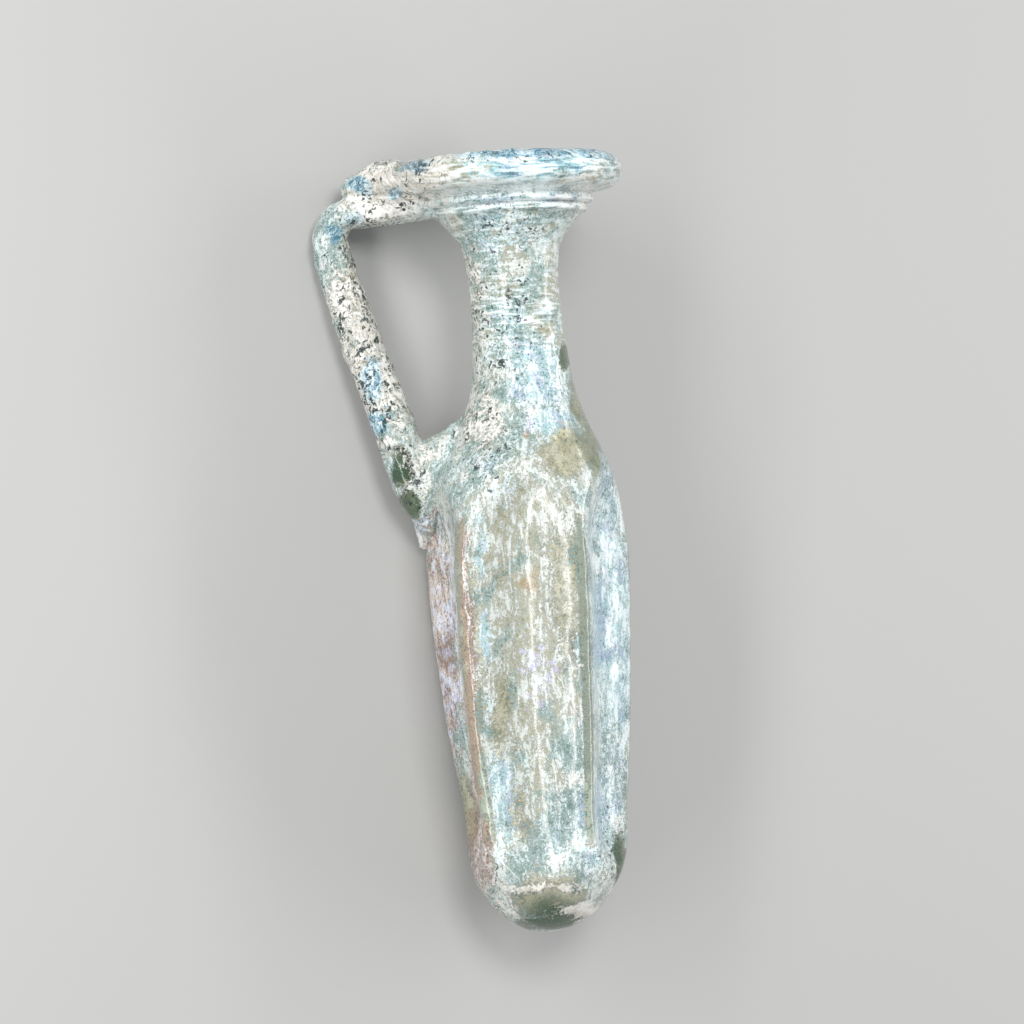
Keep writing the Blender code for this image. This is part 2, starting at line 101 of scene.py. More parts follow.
BASE_THICKNESS = 0.0040
BODY_WALL = 0.0022
NECK_WALL = 0.0029
FUNNEL_WALL = 0.0035
WALL_OUTLINE = [
    (0.4797 * FLASK_LENGTH, BODY_WALL),
    (NECK_FOOT_HEIGHT, NECK_WALL),
    (NECK_HEIGHT, NECK_WALL),
    (RIBS_HEIGHT, FUNNEL_WALL),
]
MOUTH_RADIUS = 0.0180
MOUTH_EDGE_ROUND = 0.0016

# Outside of the ribs and rim as (radius, height), for telling the inside from the outside
RIM_PROFILE = [
    (RIM_RADIUS - 1.4 * RIM_ROLL_WIDTH, FLASK_LENGTH + 0.001),
    (RIM_RADIUS - RIM_ROLL_WIDTH, FLASK_LENGTH),
    (RIM_RADIUS, FLASK_LENGTH - RIM_ROLL_HEIGHT / 2.0),
    (UPPER_RIB_RADIUS, RIBS_HEIGHT + RIB_HEIGHT),
    (LOWER_RIB_RADIUS, RIBS_HEIGHT),
]

DENT_COUNT = 5
FRONT_DENT_AZIMUTH = math.radians(-4.5)
LEFT_RIDGE_LEAN_TOP = math.radians(5.5)
LEFT_RIDGE_LEAN_BOTTOM = math.radians(-4.0)
DENT_DEPTH_SHARE = 0.30
DENT_TOP_ARCH = 0.017
DENT_BOTTOM_ARCH = 0.014
DENT_PITCH = 2.0 * math.pi / DENT_COUNT
RIDGE_ROUNDING = 0.22

HANDLE_AZIMUTH = math.radians(-90.0)
HANDLE_ROD_RADIUS = 0.0045
HANDLE_REACH = 0.0417
HANDLE_FOOT_REACH = 0.0266
HANDLE_BOW = 0.0009
ELBOW_RADIUS = 0.0038
ELBOW_HEIGHT = RIBS_HEIGHT - 0.0040
BAR_HEIGHT = RIBS_HEIGHT + 0.0022
BAR_RADIUS = 0.0031
BAR_RISE = 0.0014
BAR_WIDENING = 0.6
THUMB_REST_RADIUS = 0.0041
THUMB_REST_TIP_RADIUS = 0.0023
THUMB_REST_LENGTH = 0.0112
THUMB_REST_SINK = 0.0003
ROOT_RADIUS = 0.0047
ROOT_TAIL_HEIGHT = 0.082
ROOT_TAIL_RADIUS = 0.0013
ROOT_TAIL_AZIMUTH = math.radians(-107.0)

AXIS_DRIFT = [
    (0.0, 0.0005),
    (0.015, 0.0008),
    (0.060, -0.0003),
    (0.082, -0.0005),
    (0.116, 0.0008),
    (0.140, 0.0),
    (0.164, -0.0001),
]

# Where the CAD part lies: the base tip's place, and the turns that lay the flask down
BASE_TIP = Vector((0.0060109, -0.0820921, 0.0141058))
LYING_TILT = math.radians(-86.4819)
LYING_ROLL = math.radians(-31.0444)

# ---- Fine forms that the CAD part leaves out ----

RIM_CREASE_DEPTH = 0.00028
RIM_CREASE_ANGLE = math.radians(8.0)
RIM_CREASE_SPREAD = 0.10
UNDERCUT_HOLLOW = 0.0003
ROLL_START = math.radians(88.0)
ROLL_END = math.radians(-68.0)
RIB_SQUARENESS = 3.5
LUMP_SIZE = 0.0042
LUMP_HEIGHT = 0.00016
HANDLE_LUMP_SIZE = 0.0026
HANDLE_LUMP_HEIGHT = 0.00030
SMALL_LUMP_SHARE = 0.45
LUMPLESS_TIP_RADIUS = 0.006

# Lump beside the rod's foot: (distance from the axis, height, radius)
WEB_PLACES = [
    (0.0118, 0.1040, 0.0022),
    (0.0153, 0.1037, 0.0027),
    (0.0190, 0.1020, 0.0028),
    (0.0215, 0.0995, 0.0030),
]

# ---- Fineness of the mesh ----

COLUMNS = 220
BODY_STEP = 0.00072
NECK_STEP = 0.00058
BASE_ANGLE_STEP = 0.045
RIB_STEPS = 9
UNDERCUT_STEP = 0.125
ROLL_STEPS = 32
LIP_ANGLE_STEP = 0.26
INSIDE_STEP = 0.0026
INSIDE_BASE_ANGLES = (0.06, 0.13)
FUNNEL_STEP = 0.07
CORE_COLUMNS = 120
CORE_STEPS = (0.001, 0.0015)
HANDLE_SIDES = 28
ROD_STEPS = 6
HANDLE_VOXEL = 0.00048
MELT_ROUNDS = 5
WELD_DISTANCE = 0.00004

# Places deeper than this below the outside belong to the wall's inside, and places further out
# than these to the handle
INSIDE_DEPTH = 0.45 * BODY_WALL
HANDLE_PROUD = 0.0006
VESSEL_PROUD = 0.0007

# ---- The photograph's view: its centre, distance and tilt beside the flask ----

VIEW_ACROSS = -0.00273
VIEW_HEIGHT = 0.0884
VIEW_DISTANCE = 0.826
VIEW_TILT = math.radians(3.0)
VIEW_SPAN = 0.21504
SENSOR_WIDTH_MM = 36.0


def between(low, high, share):
    """Value at a share of the way from low to high."""
    return low + (high - low) * share


def smooth_step(value):
    """Ease from 0 to 1 for values that go from 0 to 1."""
    value = np.clip(value, 0.0, 1.0)
    return value * value * (3.0 - 2.0 * value)


def smooth_through(stations, at):
    """Values on a smooth curve through (place, value) stations, with no overshoot."""
    places, values = np.array(stations, float).T
    spans = np.diff(places)
    slopes = np.diff(values) / spans
    before, after = slopes[:-1], slopes[1:]
    total = np.where(before * after > 0.0, before + after, 1.0)
    inner = np.where(before * after > 0.0, 2.0 * before * after / total, 0.0)
    tangents = np.concatenate(([slopes[0]], inner, [slopes[-1]]))
    at = np.clip(np.asarray(at, float), places[0], places[-1])
    index = np.clip(np.searchsorted(places, at) - 1, 0, len(spans) - 1)
    span = spans[index]
    t = (at - places[index]) / span
    bend = t * t * (3.0 - 2.0 * t)
    start_pull = t * (1.0 - t) ** 2 * span * tangents[index]
    end_pull = t * t * (t - 1.0) * span * tangents[index + 1]
    return between(values[index], values[index + 1], bend) + start_pull + end_pull


def outer_radius(height):
    """Radius of the undented outside, from the base tip to the ribs."""
    rise = np.clip(1.0 - height / DOME_HEIGHT, 0.0, 1.0)
    dome = DOME_RADIUS * np.sqrt(np.maximum(0.0, 1.0 - rise * rise))
    return np.where(height >= DOME_HEIGHT, smooth_through(SIDE_OUTLINE, height), dome)


def panel_azimuth(panel_angle, height):
    """Azimuth of a place given by its angle from the front dent, with the left ridge leaning."""
    share = (height - DENT_BOTTOM_HEIGHT) / (DENT_TOP_HEIGHT - DENT_BOTTOM_HEIGHT)
    lean = between(LEFT_RIDGE_LEAN_BOTTOM, LEFT_RIDGE_LEAN_TOP, smooth_step(share))
    from_left_ridge = np.minimum(1.0, np.abs(panel_angle + DENT_PITCH / 2.0) / DENT_PITCH)
    return FRONT_DENT_AZIMUTH + panel_angle + lean * np.cos(from_left_ridge * math.pi / 2.0) ** 2


def dent_depth(panel_angle, height):
    """Depth of the dents below the undented outside."""
    offset = (panel_angle + DENT_PITCH / 2.0) % DENT_PITCH - DENT_PITCH / 2.0
    across = np.abs(offset) / (DENT_PITCH / 2.0)
    above = (height - (DENT_TOP_HEIGHT - DENT_TOP_ARCH)) / DENT_TOP_ARCH
    below = (DENT_BOTTOM_HEIGHT + DENT_BOTTOM_ARCH - height) / DENT_BOTTOM_ARCH
    along = np.maximum(0.0, np.maximum(above, below))
    slope = np.cos(np.minimum(1.0, np.hypot(across, along)) * math.pi / 2.0)
    full = math.hypot(1.0, RIDGE_ROUNDING) - RIDGE_ROUNDING
    press = (np.hypot(slope, RIDGE_ROUNDING) - RIDGE_ROUNDING) / full
    return press * DENT_DEPTH_SHARE * outer_radius(height)


def dent_stretch(panel_angle, height):
    """Extra sideways thickness that keeps a dent's slanting sides as thick as the wall."""
    step = math.radians(0.5)
    rise = dent_depth(panel_angle + step, height) - dent_depth(panel_angle - step, height)
    slope = rise / (2.0 * step * np.maximum(outer_radius(height), BODY_WALL))
    return BODY_WALL * (np.hypot(1.0, slope) - 1.0)


def on_flask(azimuth, radius, height):
    """Points at azimuths and radii around the flask's axis, as rows of x, y and z."""
    azimuth, radius, height = np.broadcast_arrays(azimuth, radius, height)
    sideways = smooth_through(AXIS_DRIFT, height)
    x = sideways + radius * np.sin(azimuth)
    return np.stack((x, -radius * np.cos(azimuth), height), axis=-1)


def spread(low, high, step):
    """Evenly spaced values from low to just before high, about a step apart."""
    count = max(1, round(abs(high - low) / step))
    return [between(low, high, index / count) for index in range(count)]


def inside_rows():
    """Inside of the wall as (radius, height) rows, from the bottom up to the lip."""
    rows = []
    first_angle, angle_step = INSIDE_BASE_ANGLES
    for angle in spread(first_angle, math.pi / 2.0, angle_step):
        height = DOME_HEIGHT - (DOME_HEIGHT - BASE_THICKNESS) * math.cos(angle)
        rows.append(((DOME_RADIUS - BODY_WALL) * math.sin(angle), height))
    for height in spread(DOME_HEIGHT, RIBS_HEIGHT, INSIDE_STEP):
        wall = float(smooth_through(WALL_OUTLINE, height))
        rows.append((float(outer_radius(height)) - wall, height))
    funnel_foot = RIBS_RADIUS - FUNNEL_WALL
    for share in spread(1.0, 0.0, FUNNEL_STEP):
        radius = between(funnel_foot, MOUTH_RADIUS, math.cos(share * math.pi / 2.0))
        rows.append((radius, between(FLASK_LENGTH - MOUTH_EDGE_ROUND, RIBS_HEIGHT, share)))
    return rows


def lip_and_rib_rows():
    """Outside of the wall as (radius, height) rows, over the lip and down to the ribs' foot."""
    rows = []
    for angle in spread(0.0, math.pi / 2.0, LIP_ANGLE_STEP):
        radius = MOUTH_RADIUS + MOUTH_EDGE_ROUND * (1.0 - math.cos(angle))
        rows.append((radius, FLASK_LENGTH - MOUTH_EDGE_ROUND * (1.0 - math.sin(angle))))
    middle_radius = RIM_RADIUS - RIM_ROLL_WIDTH
    middle_height = FLASK_LENGTH - RIM_ROLL_HEIGHT / 2.0
    for angle in spread(ROLL_START, ROLL_END, (ROLL_START - ROLL_END) / ROLL_STEPS):
        from_crease = (angle - RIM_CREASE_ANGLE) / RIM_CREASE_SPREAD
        crease = RIM_CREASE_DEPTH * math.exp(-(from_crease**2))
        radius = middle_radius + (RIM_ROLL_WIDTH - crease) * math.cos(angle)
        rows.append((radius, middle_height + RIM_ROLL_HEIGHT / 2.0 * math.sin(angle)))
    roll_end = (
        middle_radius + RIM_ROLL_WIDTH * math.cos(ROLL_END),
        middle_height + RIM_ROLL_HEIGHT / 2.0 * math.sin(ROLL_END),
    )
    rib_head = (UPPER_RIB_RADIUS - RIB_GROOVE_DEPTH, RIBS_HEIGHT + 2.0 * RIB_HEIGHT)
    for share in spread(0.0, 1.0, UNDERCUT_STEP):
        radius = between(roll_end[0], rib_head[0], share)
        hollow = UNDERCUT_HOLLOW * math.sin(share * math.pi)
        rows.append((radius, between(roll_end[1], rib_head[1], share) + hollow))
    for foot, rib_radius in ((RIB_HEIGHT, UPPER_RIB_RADIUS), (0.0, LOWER_RIB_RADIUS)):
        for share in spread(1.0, 0.0, 1.0 / RIB_STEPS):
            fall = RIB_GROOVE_DEPTH * abs(2.0 * share - 1.0) ** RIB_SQUARENESS
            rows.append((rib_radius - fall, RIBS_HEIGHT + foot + share * RIB_HEIGHT))
    return rows


def side_rows():
    """Outside of the wall as (radius, height) rows, from the ribs' foot to near the base tip."""
    heights = spread(RIBS_HEIGHT, NECK_FOOT_HEIGHT, NECK_STEP)
    heights += spread(NECK_FOOT_HEIGHT, DOME_HEIGHT, BODY_STEP)
    for angle in spread(0.0, math.radians(87.0), BASE_ANGLE_STEP):
        heights.append(DOME_HEIGHT * (1.0 - math.sin(angle)))
    return [(float(outer_radius(height)), height) for height in heights]


def closed_grid(name, rows, first_outside, columns, tip_heights):
    """Closed mesh turned from (radius, height) rows, with the dents pressed into it."""
    radius, height = np.array(rows).T
    panel = (np.arange(columns) / columns * 2.0 - 1.0) * math.pi
    angles, heights = np.meshgrid(panel, height)
    radii = radius[:, None] - dent_depth(angles, heights)
    inside = np.arange(len(rows)) < first_outside
    radii -= np.where(inside[:, None], dent_stretch(angles, heights), 0.0)
    places = on_flask(panel_azimuth(angles, heights), np.maximum(radii, 0.0), heights)
    count = len(rows)
    tips = on_flask(0.0, 0.0, np.array(tip_heights))
    points = np.concatenate((places.reshape(-1, 3), tips))
    index = np.arange(count * columns).reshape(count, columns)
    after = np.roll(index, -1, axis=1)
    quads = np.stack((index[:-1], after[:-1], after[1:], index[1:]), axis=-1).reshape(-1, 4)
    first_tip, last_tip = len(points) - 2, len(points) - 1
    faces = quads.tolist()
    faces += [(first_tip, after[0, i], index[0, i]) for i in range(columns)]
    faces += [(last_tip, index[-1, i], after[-1, i]) for i in range(columns)]
    mesh = bpy.data.meshes.new(name)
    mesh.from_pydata(points.tolist(), [], faces)
    outward(mesh)
    return mesh


def outward(mesh):
    """Turn a closed mesh's faces to point outwards."""
    work = bmesh.new()
    work.from_mesh(mesh)
    bmesh.ops.recalc_face_normals(work, faces=work.faces)
    if work.calc_volume(signed=True) < 0.0:
        bmesh.ops.reverse_faces(work, faces=work.faces)
    work.to_mesh(mesh)
    work.free()


def add_object(name, data):
    """Put an object with this data in the scene."""
    added = bpy.data.objects.new(name, data)
    bpy.context.scene.collection.objects.link(added)
    return added


def evaluated_mesh(source):
    """Mesh of an object with its modifiers applied."""
    bpy.context.view_layer.update()
    depsgraph = bpy.context.evaluated_depsgraph_get()
    return bpy.data.meshes.new_from_object(source.evaluated_get(depsgraph))


def remove_object(unwanted):
    """Remove a helper object and its mesh."""
    mesh = unwanted.data
    bpy.data.objects.remove(unwanted)
    bpy.data.meshes.remove(mesh)


def vessel_mesh():
    """Vessel as one closed wall, inside and outside."""
    inside = inside_rows()
    rows = inside + lip_and_rib_rows() + side_rows()
    return closed_grid("vessel", rows, len(inside), COLUMNS, (BASE_THICKNESS, 0.0))


def wall_core_mesh():
    """Closed form whose surface runs inside the wall, which cuts the handle's buried end off."""
    top = FLASK_LENGTH - RIM_ROLL_HEIGHT / 2.0
    rim_step, body_step = CORE_STEPS
    heights = spread(top, RIBS_HEIGHT, rim_step)
    rows = [(UPPER_RIB_RADIUS - 0.5 * FUNNEL_WALL, height) for height in heights]
    for height in spread(RIBS_HEIGHT, DOME_HEIGHT, body_step):
        rows.append((float(outer_radius(height)) - 0.55 * BODY_WALL, height))
    return closed_grid("wall_core", rows, 0, CORE_COLUMNS, (top, DOME_HEIGHT))


# ---- Handle ----

# Rod's foot, up to the shoulder's foot: (share of the height, thickness, turn, pull inwards)
FOOT_STATIONS = [(0.35, 0.85, 0.3, 0.3), (0.62, 1.0, 0.1, 0.08), (1.0, 1.0, 0.0, 0.0)]
# Straight rod, up to the elbow: (share of the height, thickness)
ROD_STATIONS = [(0.45, 0.98), (0.82, 0.93)]
# Elbow, up to the bar: (way back in elbow radii, share of the height, share of the thinning)
ELBOW_STATIONS = [(0.0, 0.0, 0.0), (0.3, 0.66, 0.3), (1.2, 0.97, 0.85)]
ROD_END_BULGE = 0.55


def swept_rod(name, places):
    """Closed rod along (x, y, z, radius in the handle's plane, radius across it) places."""
    last = len(places) - 1
    at = np.linspace(0.0, float(last), last * ROD_STEPS + 1)
    path = [smooth_through(list(enumerate(values)), at) for values in zip(*places)]
    path = np.stack(path, axis=-1)
    centres = path[:, :3]
    tangents = np.gradient(centres, axis=0)
    tangents /= np.linalg.norm(tangents, axis=1)[:, None]
    across = np.array((0.0, 1.0, 0.0)) - tangents * tangents[:, 1:2]
    across /= np.linalg.norm(across, axis=1)[:, None]
    upward = np.cross(tangents, across)
    turns = np.arange(HANDLE_SIDES) / HANDLE_SIDES * 2.0 * math.pi
    rings = centres[:, None] + upward[:, None] * (np.cos(turns)[:, None] * path[:, None, 3:4])
    rings = rings + across[:, None] * (np.sin(turns)[:, None] * path[:, None, 4:5])
    points = [tuple(point) for point in rings.reshape(-1, 3)]
    count = len(path)
    faces = []
    for ring in range(count - 1):
        for side in range(HANDLE_SIDES):
            beside = (side + 1) % HANDLE_SIDES
            low, high = ring * HANDLE_SIDES, (ring + 1) * HANDLE_SIDES
            faces.append((low + side, low + beside, high + beside, high + side))
    for end, sign in ((0, -1.0), (count - 1, 1.0)):
        bulge = ROD_END_BULGE * path[end, 3] * sign
        points.append(tuple(centres[end] + tangents[end] * bulge))
        for side in range(HANDLE_SIDES):
            beside = (side + 1) % HANDLE_SIDES
            ring = end * HANDLE_SIDES
            faces.append((len(points) - 1, ring + side, ring + beside))
    mesh = bpy.data.meshes.new(name)
    mesh.from_pydata(points, [], faces)
    outward(mesh)
    return mesh


def handle_place(out, height, radius, turn=0.0):
    """Place on a rod for swept_rod, wider where the glass was pressed flat under the rim.

    The turn is the share of the way round from the handle to the root's tail.
    """
    x, y, z = on_flask(between(HANDLE_AZIMUTH, ROOT_TAIL_AZIMUTH, turn), out, height)
    above = (height - ELBOW_HEIGHT) / (BAR_HEIGHT - ELBOW_HEIGHT)
    return x, y, z, radius, radius * (1.0 + BAR_WIDENING * float(smooth_step(above)))


def rod_reach(height):
    """Distance of the nearly straight rod's centre line from the flask's axis."""
    share = (height - SHOULDER_FOOT_HEIGHT) / (ELBOW_HEIGHT - SHOULDER_FOOT_HEIGHT)
    bow = HANDLE_BOW * 4.0 * share * (1.0 - share) if share > 0.0 else 0.0
    return between(HANDLE_FOOT_REACH, HANDLE_REACH - ELBOW_RADIUS, share) + bow


def rod_mesh():
    """Rod from the shoulder up to the elbow, and on as a bar to the underside of the rim."""
    elbow = HANDLE_REACH - ELBOW_RADIUS
    rim_end = RIBS_RADIUS - BAR_RADIUS / 2.0
    foot_height = between(ROOT_TAIL_HEIGHT, SHOULDER_HEIGHT, 0.25)
    foot_reach = float(outer_radius(foot_height)) - ROOT_TAIL_RADIUS
    places = [(foot_reach, foot_height, 0.45 * HANDLE_ROD_RADIUS, 0.65)]
    for share, radius, turn, pull in FOOT_STATIONS:
        height = between(ROOT_TAIL_HEIGHT, SHOULDER_FOOT_HEIGHT, share)
        out = rod_reach(height) - pull * HANDLE_ROD_RADIUS
        places.append((out, height, radius * HANDLE_ROD_RADIUS, turn))
    for share, radius in ROD_STATIONS:
        height = between(SHOULDER_FOOT_HEIGHT, ELBOW_HEIGHT, share)
        places.append((rod_reach(height), height, radius * HANDLE_ROD_RADIUS))
    for back, share, thinning in ELBOW_STATIONS:
        height = between(ELBOW_HEIGHT, BAR_HEIGHT, share)
        radius = between(ELBOW_RADIUS, BAR_RADIUS, thinning)
        places.append((elbow - back * ELBOW_RADIUS, height, radius))
    places += [
        (between(elbow, rim_end, 0.42), BAR_HEIGHT, BAR_RADIUS),
        (rim_end, BAR_HEIGHT + BAR_RISE, BAR_RADIUS),
    ]
    return swept_rod("rod", [handle_place(*place) for place in places])


def thumb_rest_mesh():
    """End of the rod folded back on the bar and pressed to the rim."""
    lie_height = BAR_HEIGHT + BAR_RADIUS - THUMB_REST_SINK
    start = RIM_RADIUS - RIM_ROLL_WIDTH / 2.0
    tip = start + THUMB_REST_LENGTH
    places = [
        (start, THUMB_REST_RADIUS, THUMB_REST_RADIUS),
        (between(start, tip, 0.3), THUMB_REST_RADIUS, THUMB_REST_RADIUS),
        (between(start, tip, 0.7), 0.75 * THUMB_REST_RADIUS, 0.75 * THUMB_REST_RADIUS),
        (tip, THUMB_REST_TIP_RADIUS, THUMB_REST_TIP_RADIUS),
        (tip + 0.4 * THUMB_REST_TIP_RADIUS, THUMB_REST_TIP_RADIUS, 0.9 * THUMB_REST_TIP_RADIUS),
    ]
    rest = [handle_place(out, lie_height + lift, radius) for out, lift, radius in places]
    return swept_rod("thumb_rest", rest)


def root_mesh():
    """Blob that joins the rod to the shoulder and drags down a ridge to a thin tail."""
    top = between(SHOULDER_HEIGHT, SHOULDER_FOOT_HEIGHT, 0.62)
    tail_sink = -0.3 * ROOT_TAIL_RADIUS
    places = [
        (-0.9 * ROOT_RADIUS, top + 1.2 * ROOT_RADIUS, 0.7 * ROOT_RADIUS, 0.0),
        (0.0, top, 0.9 * ROOT_RADIUS, 0.0),
        (0.15 * ROOT_RADIUS, between(top, ROOT_TAIL_HEIGHT, 0.25), ROOT_RADIUS, 0.15),
        (0.0, between(top, ROOT_TAIL_HEIGHT, 0.55), 0.85 * ROOT_RADIUS, 0.45),
        (tail_sink, between(top, ROOT_TAIL_HEIGHT, 0.82), 0.5 * ROOT_RADIUS, 0.85),
        (tail_sink, ROOT_TAIL_HEIGHT, ROOT_TAIL_RADIUS, 1.0),
    ]
    root = []
    for proud, height, radius, turn in places:
        out = float(outer_radius(height)) + proud
        root.append(handle_place(out, height, radius, turn))
    return swept_rod("root", root)


def web_mesh():
    """Lump of glass that fills the corner between the rod and the shoulder."""
    return swept_rod("web", [handle_place(*place) for place in WEB_PLACES])


def handle_mesh():
    """Handle as one molten mass, cut off inside the vessel's wall."""
    joined = bmesh.new()
    for piece in (rod_mesh(), thumb_rest_mesh(), root_mesh(), web_mesh()):
        joined.from_mesh(piece)
        bpy.data.meshes.remove(piece)
    mesh = bpy.data.meshes.new("handle")
    joined.to_mesh(mesh)
    joined.free()
    handle = add_object("handle", mesh)
    remesh = handle.modifiers.new("melt", "REMESH")
    remesh.mode = "VOXEL"
    remesh.voxel_size = HANDLE_VOXEL
    smooth = handle.modifiers.new("flow", "SMOOTH")
    smooth.factor = 0.5
    smooth.iterations = MELT_ROUNDS
    core = add_object("wall_core", wall_core_mesh())
    cut = handle.modifiers.new("cut", "BOOLEAN")
    cut.object = core
    cut.operation = "DIFFERENCE"
    cut.solver = "MANIFOLD"
    melted = evaluated_mesh(handle)
    remove_object(handle)
    remove_object(core)
    return melted


def join_handle(vessel, handle):
    """Fuse the handle to the vessel, and clean what the join leaves."""
    whole = add_object("flask_glass", vessel)
    part = add_object("handle", handle)
    union = whole.modifiers.new("fuse", "BOOLEAN")
    union.object = part
    union.operation = "UNION"
    union.solver = "MANIFOLD"
    mesh = evaluated_mesh(whole)
    whole.modifiers.clear()
    whole.data = mesh
    remove_object(part)
    bpy.data.meshes.remove(vessel)
    work = bmesh.new()
    work.from_mesh(mesh)
    bmesh.ops.remove_doubles(work, verts=work.verts, dist=WELD_DISTANCE)
    bmesh.ops.triangulate(work, faces=[face for face in work.faces if len(face.verts) > 4])
    work.to_mesh(mesh)
    work.free()
    return whole


def surface_arrays(mesh):
    """Vertex places and normals of a mesh, as two arrays."""
    count = len(mesh.vertices)
    places = np.empty(count * 3, np.float32)
    mesh.vertices.foreach_get("co", places)
    normals = np.empty(count * 3, np.float32)
    mesh.vertex_normals.foreach_get("vector", normals)
    return places.reshape(-1, 3).astype(float), normals.reshape(-1, 3).astype(float)


def depth_inside(places):
    """How far places lie inside the vessel's outer surface, measured sideways."""
    height = places[:, 2]
    x = places[:, 0] - smooth_through(AXIS_DRIFT, height)
    azimuth = np.arctan2(x, -places[:, 1])
    radius = np.hypot(x, places[:, 1])
    outline = [(row[1], row[0]) for row in reversed(RIM_PROFILE)]
    above = smooth_through(outline, height)
    beside = np.where(height > RIBS_HEIGHT, above, outer_radius(height))
    return beside - dent_depth(azimuth - FRONT_DENT_AZIMUTH, height) - radius


# ---- Weathering ----

